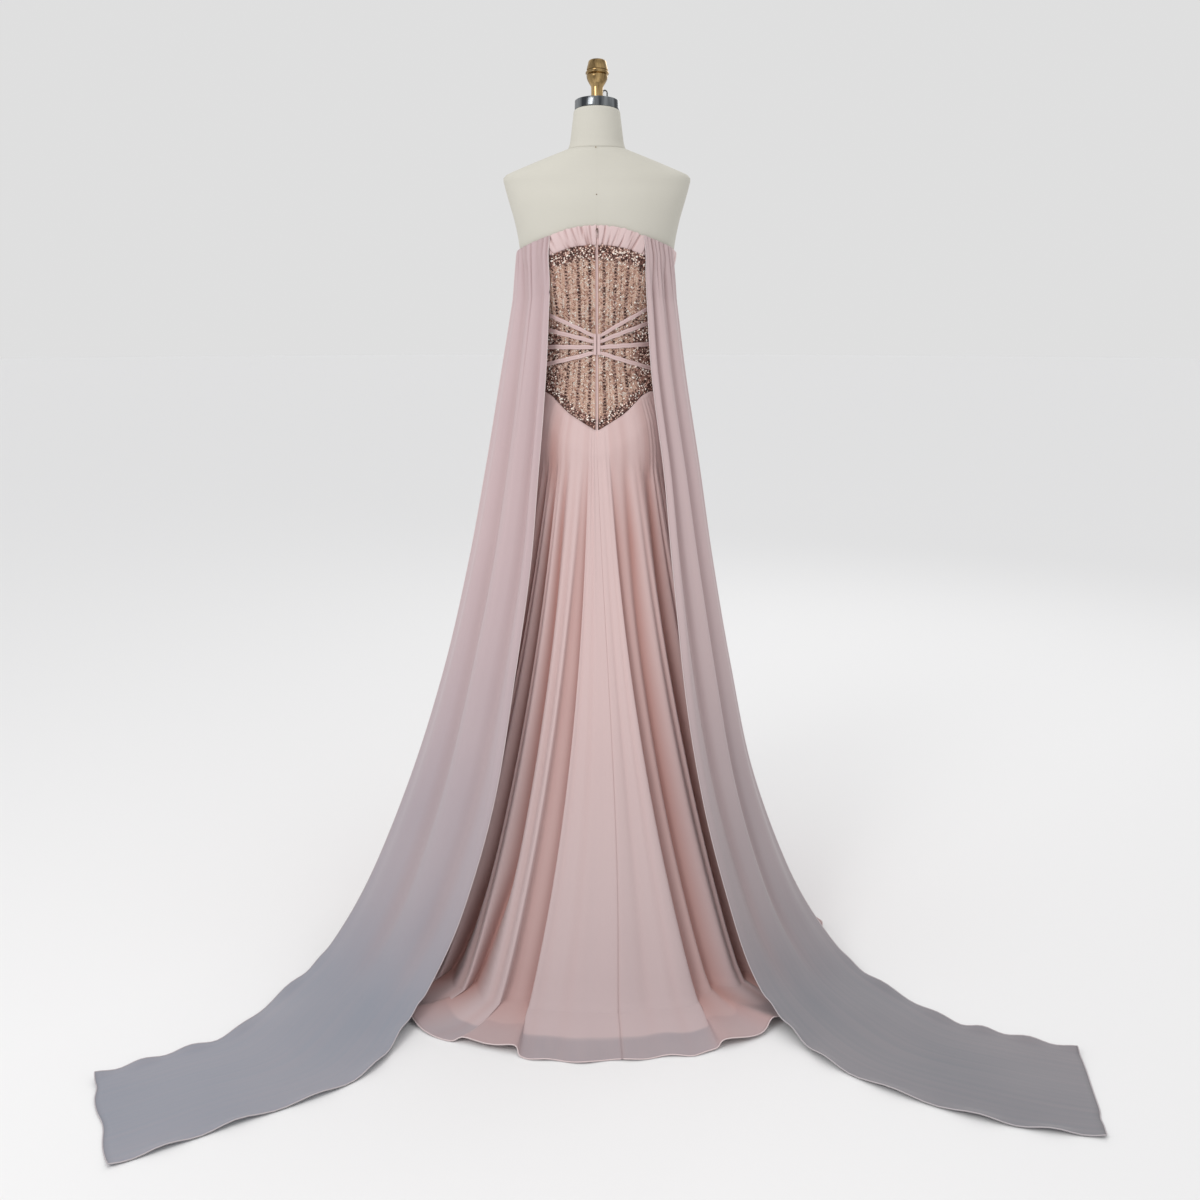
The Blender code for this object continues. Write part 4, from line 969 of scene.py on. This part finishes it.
# How far the lines of the cloth swing sideways on their way out over the floor
floorSwing = tableOf("angle swing", [
    (-180, 0.0), (-100, 0.0), (-82, -0.5), (-70, -1.5), (-57, -2.5), (-45, -4.0), (-36, -5.0), (-30, -5.0),
    (-26.3, -4.0), (-22.8, 0.0), (-19, 2.2), (-14, 1.2), (0, 0.0), (10, -1.2), (13, -1.8), (15.3, 0.0),
    (17.5, 3.5), (22, 5.5), (26, 6.5), (31, 5.5), (38, 4.5), (47, 3.0), (60, 1.2), (80, 0.3), (100, 0.0), (180, 0.0),
])
minorFolds = tableOf("angle depth width", [
    (5.5, 0.07, 1.2), (11.0, 0.08, 1.0), (19.8, 0.22, 0.8), (27.6, 0.36, 0.8), (34.8, 0.40, 0.9), (42.8, 0.42, 1.0),
    (54.0, 0.35, 1.2), (67.0, 0.22, 1.2), (81.0, 0.20, 1.3), (98.0, 0.22, 1.4), (111.0, 0.20, 1.3),
    (124.0, 0.22, 1.3), (138.0, 0.20, 1.3), (152.0, 0.24, 1.4), (165.0, 0.20, 1.4), (-9.5, 0.06, 1.1),
    (-15.0, 0.08, 1.0), (-30.3, 0.34, 0.8), (-39.5, 0.36, 1.0), (-45.0, 0.34, 1.0),
    (-60.0, 0.25, 1.3), (-74.0, 0.22, 1.3), (-92.0, 0.22, 1.4), (-111.0, 0.20, 1.3), (-124.0, 0.24, 1.3),
    (-138.0, 0.20, 1.3), (-152.0, 0.22, 1.4), (-165.0, 0.22, 1.4),
])
# Shaded hollows under the basque's peaks: angle, width, share of the fall, reach and strength
skirtHollows = ((33.0, 6.0, 0.10, 0.09, 0.75), (43.0, 4.0, 0.22, 0.12, 0.5), (-33.0, 5.0, 0.14, 0.08, 0.30))
skirtCreases = {
    "angle": chance.uniform(-180, 180, 90),
    "width": chance.uniform(0.5, 1.6, 90),
    "depth": chance.uniform(0.2, 1.0, 90),
    "reach": chance.uniform(0.06, 0.34, 90),
}


def flare(fall):  # how far out the skirt has come at a share of its fall: straight, then flaring
    s = np.clip(fall, 0.0, 1.0)
    return skirtShape["flareStraight"] * s + (1 - skirtShape["flareStraight"]) * s ** skirtShape["flarePower"]


def hemRadius(angle, column):  # where the cloth touches the floor, or ends, at an angle
    return smoothCurve(np.abs(awayFrom(angle, 0.0)), skirtShape["hem"]["angle"], skirtShape["hem"][column])


def foldSum(grain, weights, spread=1.0):  # the folds' bells with their own widths, each times a weight
    apart = awayFrom(grain[..., None], skirtFolds["hem"]) / (skirtFolds["width"] * spread)
    return np.sum(weights * bell(apart), axis=-1)


def minorSum(grain):  # the small folds between the main ones
    apart = awayFrom(grain[..., None], minorFolds["angle"]) / minorFolds["width"]
    return np.sum(minorFolds["depth"] * bell(apart), axis=-1)


def lineAngle(grain, fall):
    # the angle of a line down the skirt: a parabola through the table's top, middle and hem angles
    seam = skirtShape["seamLine"]
    order = np.argsort(np.append(skirtFolds["hem"], seam[2]))
    hem = np.append(skirtFolds["hem"], seam[2])[order]
    top = np.append(skirtFolds["top"], seam[0])[order]
    middle = np.append(skirtFolds["middle"], seam[1])[order]
    atTop = grain + np.interp(grain, hem, top - hem)
    atMiddle = grain + np.interp(grain, hem, middle - hem)
    s = np.clip((fall - skirtShape["lineFrom"]) / (1 - skirtShape["lineFrom"]), 0.0, 1.0)
    return atTop * (1 - s) * (1 - 2 * s) + atMiddle * 4 * s * (1 - s) + grain * s * (2 * s - 1)


def skirtPoints(grain, fall):  # the raw surface, averaged over its neighbours near the floor so it lands softly
    near = skirtShape["landing"] * bell((fall - 1.02) / 0.22)
    before, after = rawSkirt(grain, fall - near), rawSkirt(grain, np.minimum(fall + near, 2.0))
    return 0.30 * before + 0.40 * rawSkirt(grain, fall) + 0.30 * after


def rawSkirt(grain, fall):
    # a flared cone from the seam (fall 0) to the floor (1) and out to the hem (2), less the folds' depth;
    # each ridge leans over its valley, and small creases run down from the seam
    hang = np.clip(fall, 0.0, 1.0)
    lie = np.clip(fall - 1.0, 0.0, 1.0)
    folds = foldSum(grain, skirtFolds["depth"])
    landed = smoothStep(fall, 0.78, 0.98)
    leaning = (1 - landed) * foldSum(grain, skirtFolds["lean"] * skirtFolds["width"])
    leaning = leaning + landed * foldSum(grain, skirtFolds["lay"] * skirtFolds["width"])
    swing = smoothCurve(grain, floorSwing["angle"], floorSwing["swing"])
    plain = lineAngle(grain, fall)
    grow = smoothStep(hang, 0.05, 0.45)
    angle = plain + leaning * skirtShape["leanReach"] * grow + swing * lie ** 1.5
    top = edgeHeight(basque, plain) - 0.0002
    height = top + (skirtShape["touchHeight"] - top) * hang
    start = gownRadius(plain, top, skirtShape["out"])
    smooth = start + (hemRadius(plain, "touch") - start) * flare(hang)
    turn = np.radians(grain)
    wave = 0.0035 * np.sin(turn * 19 + 1.0 + hang) + 0.0022 * np.sin(turn * 33 - 2.0 * hang)
    small = minorSum(grain) * (0.4 + 0.6 * np.sin(np.pi * np.clip(hang, 0, 0.9)))
    radius = smooth - skirtShape["foldDepth"] * (folds + small) * flare(hang) ** skirtShape["foldStart"]
    radius = radius + wave * flare(hang)
    crease = 0.0
    for place, width, depth, reach in zip(*skirtCreases.values()):
        crease = crease + depth * bell(awayFrom(grain, place) / width) * bell(hang / reach)
    radius = radius + 0.0022 * crease * smoothStep(hang, 0.0, 0.02)
    least = gownRadius(plain, height, skirtShape["out"])
    least = least + skirtShape["ease"] * np.clip((top - height) / skirtShape["easeDrop"], 0.0, 1.0)
    radius = np.maximum(radius, least + 0.0010 * crease * smoothStep(hang, 0.0, 0.02))
    edge = hemRadius(angle, "hem") - skirtShape["hemScallop"] * skirtShape["foldDepth"] * folds
    edge = edge + 0.004 * np.sin(turn * 14 + 0.6) + 0.003 * np.sin(turn * 41)
    lift = skirtShape["hemLift"] * foldSum(grain, skirtFolds["depth"], 0.8) * lie * (1.6 - 0.6 * lie)
    low = skirtShape["lieOnFloor"] + lift + 0.0010 * (1 + np.sin(turn * 53))
    return polar(angle, radius + (edge - radius) * lie, height + (low - height) * smoothStep(lie, 0.0, 0.8))


def skirtShading(grain, fall):
    # "depth" is how far down a valley a point is, and paints shade there; "single" is 1 below the lining's edge, less
    # where layers overlap
    folds = np.clip(foldSum(grain, skirtFolds["depth"], 1.0) + 0.9 * minorSum(grain), 0.0, 1.0)
    depth = 0.90 * folds * (0.25 + 0.75 * smoothStep(fall, 0.02, 0.25)) * (1 - 0.55 * smoothStep(fall, 1.2, 1.8))
    for place, width, middle, reach, shade in skirtHollows:
        depth = np.maximum(depth, shade * bell((grain - place) / width) * bell((fall - middle) / reach))
    beside = np.clip(foldSum(grain, np.ones(len(skirtFolds["hem"])), 1.7), 0.0, 1.0)
    lie = np.clip(fall - 1.0, 0.0, 1.0)
    inside = (hemRadius(grain, "hem") - hemRadius(grain, "touch")) * (1 - lie)
    # single also rises down the whole fall, so the skirt is painted greyer and darker towards the floor: painted
    # shade for light that falls off lower down
    single = 0.46 * smoothStep(fall, 0.3, 1.08)
    single = single + 0.36 * (1 - smoothStep(inside, 0.058, 0.064)) * (fall > 1) * (1 - 0.5 * beside)
    return depth, single


skirtGrid = {
    "rowsHanging": 52,
    "rowsLying": 24,
    "backStep": 0.31,
    "frontStep": 0.85,
    "thickness": 0.0006,
    "hemRoll": 0.0011,
    "cut": {"BackRight": (1.05, 1.22), "BackLeft": (1.05, 1.22), "Front": (1.55, 1.06)},
    "area": {"BackRight": 0.62, "BackLeft": 0.66, "Front": 0.98},
}


def makeSkirt(chiffon, hemMaterial):  # three panels of the skirt's surface, drawn in at the seams, each with its hem
    seam = skirtShape["seamLine"][2]
    ends = {"BackRight": (-sideAngle, seam), "BackLeft": (seam, sideAngle), "Front": (sideAngle, 360 - sideAngle)}
    fall = np.concatenate([between(0.0, 0.06, 10), between(0.06, 1.0, skirtGrid["rowsHanging"])[1:],
                           between(1.0, 2.0, skirtGrid["rowsLying"])[1:]])[:, None]
    for name, (start, end) in ends.items():
        step = skirtGrid["frontStep"] if name == "Front" else skirtGrid["backStep"]
        grain = between(start, end, int((end - start) / step) + 1)[None, :]
        wrapped = awayFrom(grain, 0.0)
        wide, long = np.broadcast_arrays(wrapped, fall)
        grid = skirtPoints(wide, long)
        edge = 0.0004 * (bell((grain - start) / 0.30) + bell((grain - end) / 0.30))
        inward = grid * np.array([1.0, 1.0, 0.0])
        inward = inward / np.linalg.norm(inward, axis=-1, keepdims=True)
        grid = grid - inward * (edge * smoothStep(fall, 0.0, 0.1))[..., None]
        depth, single = skirtShading(wide, long)
        # painted shade along the drawn-in edges at the seams
        depth = np.maximum(depth, 0.16 * np.minimum(edge / 0.0004, 1.0))
        mesh = gridMesh("skirt" + name, grid, grain=(wide / 360 * 3.2, long * 1.05), single=single, depth=depth)
        piece = thicken(addPiece(mesh, chiffon, ["skirt_" + cadPanels[name]]), skirtGrid["thickness"])
        hemPath = grid[-1] + np.array([0.0, 0.0, 0.0003])
        hem = tubeMesh("rolledHem" + name, hemPath, skirtGrid["hemRoll"], 6, single=0.0, depth=0.0)
        hem = addPiece(hem, hemMaterial)


liningShape = {"share": 0.75, "hem": 0.062, "out": 0.0016, "ease": 0.004, "columns": 160, "rows": 36}


def liningPoints(angle, share):  # a plain flared cone from the basque seam to its hem above the floor
    top = edgeHeight(basque, angle) - 0.0006
    height = top + (liningShape["hem"] - top) * share
    fall = (top - height) / (top - skirtShape["touchHeight"])
    start = gownRadius(angle, top, liningShape["out"])
    radius = start + (liningShape["share"] * hemRadius(angle, "touch") - start) * flare(fall)
    radius = radius + 0.006 * np.sin(np.radians(angle) * 17) * flare(fall)
    least = gownRadius(angle, height, liningShape["out"])
    least = least + liningShape["ease"] * np.clip((top - height) / skirtShape["easeDrop"], 0.0, 1.0)
    return polar(angle, np.maximum(radius, least), height)


def makeLining(material):  # the lining's cone with a rolled lower edge
    angle = awayFrom(np.arange(liningShape["columns"])[None, :] * 360.0 / liningShape["columns"], 0.0)
    share = between(0.0, 1.0, liningShape["rows"])[:, None]
    angle, share = np.broadcast_arrays(angle, share)
    grid = liningPoints(angle, share)
    mesh = gridMesh("skirtLining", grid, around=True, grain=(angle / 360 * 2.2, share), single=0.0, depth=0.0)
    piece = thicken(addPiece(mesh, material, ["skirt_lining"]), 0.0005)
    hem = addPiece(tubeMesh("liningHem", grid[-1], 0.0009, 6, closed=True, single=0.0, depth=0.0), material)


# Streamers: stations of the inner and outer edges down each panel, and how deep it ripples there

streamerShape = {
    "left": tableOf("innerX innerY innerZ outerX outerY outerZ ripple", [
        (0.090, 0.084, 1.270, 0.165, 0.022, 1.262, 0.004),
        (0.098, 0.112, 1.120, 0.192, 0.036, 1.112, 0.006),
        (0.111, 0.150, 0.950, 0.221, 0.058, 0.945, 0.008),
        (0.126, 0.212, 0.760, 0.258, 0.088, 0.750, 0.010),
        (0.156, 0.296, 0.540, 0.306, 0.130, 0.545, 0.011),
        (0.187, 0.374, 0.350, 0.366, 0.190, 0.350, 0.011),
        (0.240, 0.452, 0.170, 0.438, 0.266, 0.170, 0.009),
        (0.290, 0.510, 0.065, 0.502, 0.340, 0.060, 0.006),
        (0.328, 0.588, 0.022, 0.556, 0.424, 0.014, 0.002),
        (0.385, 0.728, 0.004, 0.634, 0.594, 0.002, 0.000),
        (0.560, 0.856, 0.002, 0.732, 0.668, 0.002, 0.000),
        (0.722, 0.958, 0.002, 0.828, 0.734, 0.002, 0.000),
    ]),
    "right": tableOf("innerX innerY innerZ outerX outerY outerZ ripple", [
        (0.095, 0.084, 1.270, 0.156, 0.024, 1.262, 0.004),
        (0.106, 0.112, 1.120, 0.177, 0.040, 1.112, 0.006),
        (0.128, 0.146, 0.950, 0.204, 0.062, 0.945, 0.008),
        (0.145, 0.204, 0.760, 0.233, 0.092, 0.750, 0.010),
        (0.166, 0.286, 0.540, 0.269, 0.134, 0.545, 0.011),
        (0.196, 0.364, 0.350, 0.309, 0.196, 0.350, 0.011),
        (0.243, 0.436, 0.170, 0.376, 0.272, 0.170, 0.009),
        (0.282, 0.500, 0.065, 0.447, 0.342, 0.060, 0.006),
        (0.324, 0.585, 0.022, 0.512, 0.422, 0.014, 0.002),
        (0.404, 0.708, 0.004, 0.620, 0.552, 0.002, 0.000),
        (0.600, 0.842, 0.002, 0.714, 0.604, 0.002, 0.000),
        (0.782, 0.890, 0.002, 0.822, 0.658, 0.002, 0.000),
    ]),
    "fromAngle": 44.0,
    "toAngle": {"left": 84.0, "right": 71.0},
    "folds": {
        # across, width and strength: a ridge where it is above 0, a hollow below
        "left": ((0.05, 0.06, 0.9), (0.20, 0.07, -1.0), (0.38, 0.09, 0.9), (0.60, 0.08, -1.1), (0.80, 0.09, 0.8)),
        "right": ((0.07, 0.06, 0.8), (0.24, 0.06, -1.2), (0.42, 0.08, 0.9), (0.58, 0.06, -1.0), (0.78, 0.10, 1.0)),
    },
    "tucks": {
        # across, width, strength and reach down, in stations
        "left": ((0.05, 0.022, 1.0, 0.7), (0.15, 0.020, 0.8, 0.5), (0.27, 0.030, 0.5, 0.8), (0.42, 0.020, 1.0, 2.2),
                 (0.55, 0.030, 0.45, 0.9), (0.68, 0.025, 0.6, 1.3), (0.80, 0.018, 0.8, 0.5), (0.88, 0.016, 0.7, 0.4),
                 (0.95, 0.015, 0.6, 0.5)),
        "right": ((0.12, 0.020, 0.4, 0.6), (0.24, 0.022, 1.0, 1.6), (0.36, 0.018, 0.8, 0.9), (0.48, 0.022, 0.9, 2.0),
                  (0.64, 0.020, 1.0, 1.5), (0.80, 0.022, 0.8, 1.0), (0.92, 0.016, 0.5, 0.6)),
    },
    "cutWidth": {"left": 0.28, "right": 0.23},
    "columns": 118,
    "rows": 140,
    "lieOnFloor": 0.0022,
    "thickness": 0.0006,
}


streamerColours = {
    # over the skirt, alone on the floor, painted shade in a hollow
    "left": ((0.560, 0.425, 0.440), (0.250, 0.265, 0.310), (0.360, 0.235, 0.230)),
    "right": ((0.585, 0.450, 0.455), (0.195, 0.197, 0.218), (0.340, 0.220, 0.215)),
}


def streamerFold(side, across, place):  # a sum of bells for the broad folds, which wander a little on their way down
    total = 0.0
    for number, (middle, width, strength) in enumerate(streamerShape["folds"][side]):
        wander = 0.022 * np.sin(0.7 * place + 2.1 * number)
        total = total + strength * bell((across - middle - wander) / width)
    return total


def streamerTucks(side, across, place):  # narrow grooves at the top, up to 1, each fading at its own length
    total = 0.0
    for middle, width, strength, reach in streamerShape["tucks"][side]:
        drift = 0.02 * place * (0.5 - middle)
        total = total + strength * bell((across - middle - drift) / width) * bell(place / reach)
    return np.minimum(total, 1.0)


def streamerPoints(side, across, down):
    # across 0 to 1 from the inner to the outer edge, down 0 at the neckline to 1 at the end on the floor:
    # smooth curves through the stations in angle, radius and height, with ripples that fade to the floor
    stations = streamerShape[side]
    count = len(stations["innerX"])
    numbers = np.arange(1, count + 1, dtype=float)
    ragged = {"left": 0.7 * bell((across - 0.42) / 0.16) + 0.4 * bell((across - 0.85) / 0.07),
              "right": 0.25 * bell((across - 0.5) / 0.25) + 0.2 * bell((across - 0.2) / 0.06)}[side]
    place = down * count * (1 - 0.006 * ragged * down ** 10)
    startAngle = streamerShape["fromAngle"] + (streamerShape["toAngle"][side] - streamerShape["fromAngle"]) * across
    startHeight = bandTop(startAngle) + 0.0012
    startRadius = gownRadius(startAngle, startHeight, 0.0044)
    reading = []
    for part in range(3):
        edge = []
        for name in ("inner", "outer"):
            x, y = stations[name + "X"], stations[name + "Y"]
            values = (np.degrees(np.arctan2(x, y)), np.hypot(x, y), stations[name + "Z"])[part]
            edge.append(smoothCurve(place, numbers, values))
        reading.append(edge[0] + (edge[1] - edge[0]) * across)
    share = np.clip(place, 0.0, 1.0)
    angle, radius, height = (start + (value - start) * share
                             for start, value in zip((startAngle, startRadius, startHeight), reading))
    depth = np.interp(place, np.arange(count + 1), np.append(0.0015, stations["ripple"]))
    radius = radius + depth * streamerFold(side, across, place)
    radius = radius - 0.0044 * streamerTucks(side, across, place)
    clear = gownRadius(angle, np.clip(height, 0.9, 1.45), 0.0046 + 0.0020 * smoothStep(place, 0.05, 0.3))
    radius = np.where(place < 1.6, np.maximum(radius, clear), radius)
    radius = radius + 0.0024 * (1 - streamerTucks(side, across, place)) * bell(place / 1.2)
    floor = smoothStep(place, 8.0, 9.2)
    curl = bell(across / 0.05) * (1 + np.sin(place * 11)) + bell((1 - across) / 0.05) * (1 + np.sin(place * 9))
    curl = 0.0035 * floor * curl
    billow = 0.0022 * floor * (1 + np.sin(6.0 * across + 1.7 * place)) * (1 + np.sin(3.1 * place - 4 * across)) / 2
    height = np.maximum(height, streamerShape["lieOnFloor"]) + curl + billow
    points = polar(angle, radius, height)
    return points * np.array([1.0 if side == "left" else -1.0, 1.0, 1.0])


def makeStreamer(side, material, hemMaterial):  # one panel, greyer towards its end, with a rolled edge round it
    across = between(0.0, 1.0, streamerShape["columns"])[None, :]
    down = (between(0.0, 1.0, streamerShape["rows"]) ** 1.05)[:, None]
    across, down = np.broadcast_arrays(across, down)
    grid = streamerPoints(side, across, down)
    place = down * len(streamerShape[side]["innerX"])
    single = smoothStep(place, 3.0, 9.5)
    # painted shade in the hollows of the broad folds and in the tucks, fading towards the floor
    paintedShade = np.clip(-streamerFold(side, across, place), 0, 1) * (1 - smoothStep(place, 7.0, 9.0))
    tuck = streamerTucks(side, across, place)
    depth = np.clip(0.25 * paintedShade + 0.60 * tuck, 0.0, 0.8)
    if side == "right":
        grid, across, down, single, depth = (part[:, ::-1] for part in (grid, across, down, single, depth))
    name = "streamer" + side.capitalize()
    mesh = gridMesh(name, grid, grain=(across * 0.45, down * 2.0), single=single, depth=depth)
    piece = thicken(addPiece(mesh, material, ["streamer_" + side]), streamerShape["thickness"])
    border = np.concatenate([grid[:, 0], grid[-1, 1:], grid[-2::-1, -1]])
    value = np.concatenate([single[:, 0], single[-1, 1:], single[-2::-1, -1]])[:, None]
    hem = addPiece(tubeMesh(name + "Hem", border, 0.0010, 6, single=value, depth=0.0), hemMaterial)


# The room, the lights and the camera

roomLook = {
    "floorColour": (0.825, 0.825, 0.83),
    "floorRadius": 40.0,
    "ambient": 0.74,
    "overhead": 0.50,
    "lights": {
        # name: place, aim, width, height, watts, colour
        "keyLight": ((1.6, 2.3, 2.5), (0.0, 0.0, 1.15), 1.2, 1.2, 26.0, (1.0, 0.99, 0.975)),
        "frontLight": ((-1.4, -2.6, 2.7), (0.0, 0.0, 0.95), 1.8, 1.8, 16.0, (1.0, 0.99, 0.98)),
    },
}
cameraPlace = {"place": (-0.006, 2.6, 1.23), "pitch": 12.65, "focal": 1265.0, "imageSize": 1200.0, "sensor": 36.0}


def makeRoom():  # a wide round floor, an even pale sky and two soft area lights
    material = newMaterial("paleFloor", 0.7, 0.0, roomLook["floorColour"])[0]
    angles = -np.arange(96) * 3.75
    mesh = meshFrom("floor", polar(angles, roomLook["floorRadius"], 0.0), np.arange(96)[None, :])
    floor = bpy.data.objects.new("floor", mesh)
    bpy.context.scene.collection.objects.link(floor)
    mesh.materials.append(material)
    world = bpy.data.worlds.new("paleRoom")
    bpy.context.scene.world = world
    world.use_nodes = True
    world.node_tree.nodes["Background"].inputs["Color"].default_value = (1.0, 1.0, 1.0, 1.0)
    world.node_tree.nodes["Background"].inputs["Strength"].default_value = roomLook["ambient"]
    for name, (place, aim, width, height, watts, colour) in roomLook["lights"].items():
        light = bpy.data.lights.new(name, "AREA")
        light.shape = "RECTANGLE"
        light.size = width
        light.size_y = height
        light.energy = watts
        light.color = colour
        holder = bpy.data.objects.new(name, light)
        holder.location = place
        holder.rotation_euler = (Vector(aim) - Vector(place)).to_track_quat("-Z", "Y").to_euler()
        bpy.context.scene.collection.objects.link(holder)


def makeOverhead():  # a wide soft light from straight above
    sun = bpy.data.lights.new("overheadLight", "SUN")
    sun.energy = roomLook["overhead"]
    sun.angle = math.radians(70)
    holder = bpy.data.objects.new("overheadLight", sun)
    holder.location = (0.0, 0.0, 4.0)
    bpy.context.scene.collection.objects.link(holder)


def makeCamera():  # focal length in millimetres = focal length in pixels x sensor width / image width
    camera = bpy.data.cameras.new("photoCamera")
    camera.sensor_width = cameraPlace["sensor"]
    camera.lens = cameraPlace["focal"] * cameraPlace["sensor"] / cameraPlace["imageSize"]
    camera.clip_end = 60.0
    holder = bpy.data.objects.new("photoCamera", camera)
    holder.location = cameraPlace["place"]
    holder.rotation_euler = (math.radians(90 - cameraPlace["pitch"]), 0.0, math.radians(180))
    bpy.context.scene.collection.objects.link(holder)
    bpy.context.scene.camera = holder


def paintNodes(materials):  # CAD nodes that stay as they are get their finish
    for node, material in materials.items():
        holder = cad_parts[node]
        holder.data.materials.clear()
        holder.data.materials.append(material)


bpy.context.scene.view_settings.view_transform = "Standard"
makeRoom()
makeOverhead()
makeCamera()
print("room, lights and camera made")

canvas = makeCanvas()
# the brass's dark streaks round its axis are painted reflections of a dark room
brass = makeMetal("agedBrassPaintedReflections", (0.58, 0.400, 0.185), (0.075, 0.046, 0.020), 0.24, 1.0, (70.0, 70.0, 8.0))
# the chrome's darkened colours and dark streaks are painted reflections of a dark room
chrome = makeMetal("capChrome", (0.34, 0.36, 0.375), (0.055, 0.060, 0.068), 0.16, 1.0, (75.0, 75.0, 2.0))
makeForm(canvas)
makeNeck(canvas)
makeCapAndFinial(chrome, brass)
makePins(brass)
print("dress form made")

pinkChiffon = makeChiffon("pinkChiffon", chiffonLook["backed"], chiffonLook["single"], chiffonLook["paintedShade"])
hemThread = makeChiffon("hemThread", (0.66, 0.55, 0.55), (0.46, 0.43, 0.45), (0.40, 0.25, 0.22))
liningSatin = makeChiffon("liningSatin", (0.56, 0.40, 0.39), (0.5, 0.4, 0.4), (0.40, 0.25, 0.22))
tulle = makeTulle()
bodiceSheets = makeBodice(tulle)
darkGlass = makeBeadLook("darkRoseCrystal", [
    (0.0, (0.065, 0.034, 0.030)), (0.55, (0.14, 0.070, 0.061)), (0.85, (0.32, 0.18, 0.155)),
    (1.0, (0.60, 0.42, 0.37)),
], 0.14, 0.55)
# the near-white top of this ramp paints glints on some of the bars
goldGlass = makeBeadLook("peachGoldBead", [
    (0.0, (0.42, 0.22, 0.155)), (0.35, (0.88, 0.60, 0.47)), (0.75, (1.0, 0.81, 0.68)), (1.0, (1.0, 0.96, 0.90)),
], 0.20, 0.30)
brightGlass = makeBeadLook("paleCrystal", [
    (0.0, (0.90, 0.74, 0.64)), (0.4, (1.0, 0.89, 0.80)), (1.0, (1.0, 0.96, 0.90)),
], 0.06, 0.35)
# the near-white top of this ramp paints glints on some of the crystals
mixedGlass = makeBeadLook("mixedRoseCrystal", [
    (0.0, (0.055, 0.025, 0.020)), (0.35, (0.18, 0.080, 0.064)), (0.58, (0.50, 0.27, 0.215)),
    (0.78, (0.92, 0.66, 0.56)), (1.0, (1.0, 0.90, 0.82)),
], 0.10, 0.35)
beads = makeBeads(darkGlass, goldGlass, brightGlass, mixedGlass)
print("bodice and beads made")

bandChiffon = makeChiffon("bandChiffon", (0.715, 0.550, 0.545), (0.46, 0.43, 0.45), (0.42, 0.25, 0.23))
makeBand(bandChiffon)
makeStraps(pinkChiffon)
# the zip tape's third colour, almost black, is the painted shade in its groove
makeZip(makeChiffon("zipTape", (0.80, 0.59, 0.57), (0.5, 0.4, 0.4), (0.12, 0.055, 0.048)))
print("band, straps and zip made")

makeLining(liningSatin)
makeSkirt(pinkChiffon, hemThread)
print("skirt made")
for side, (backed, single, paintedShade) in streamerColours.items():
    look = makeChiffon("streamerChiffon" + side.capitalize(), backed, single, paintedShade)
    makeStreamer(side, look, hemThread)
print("streamers made")

darkMetal = makeMetal("zipMetal", (0.26, 0.20, 0.17), (0.12, 0.085, 0.07), 0.32, 400.0)
paleMetal = makeMetal("zipPullMetal", (0.72, 0.56, 0.54), (0.50, 0.36, 0.34), 0.30, 400.0)
standPaint = makeMetal("standPaint", (0.050, 0.050, 0.055), (0.035, 0.035, 0.040), 0.42, 40.0)
paintNodes({"zip_slider": darkMetal, "zip_pull": paleMetal, "cap_loop": chrome,
            "stand_base": standPaint, "stand_pole": standPaint})
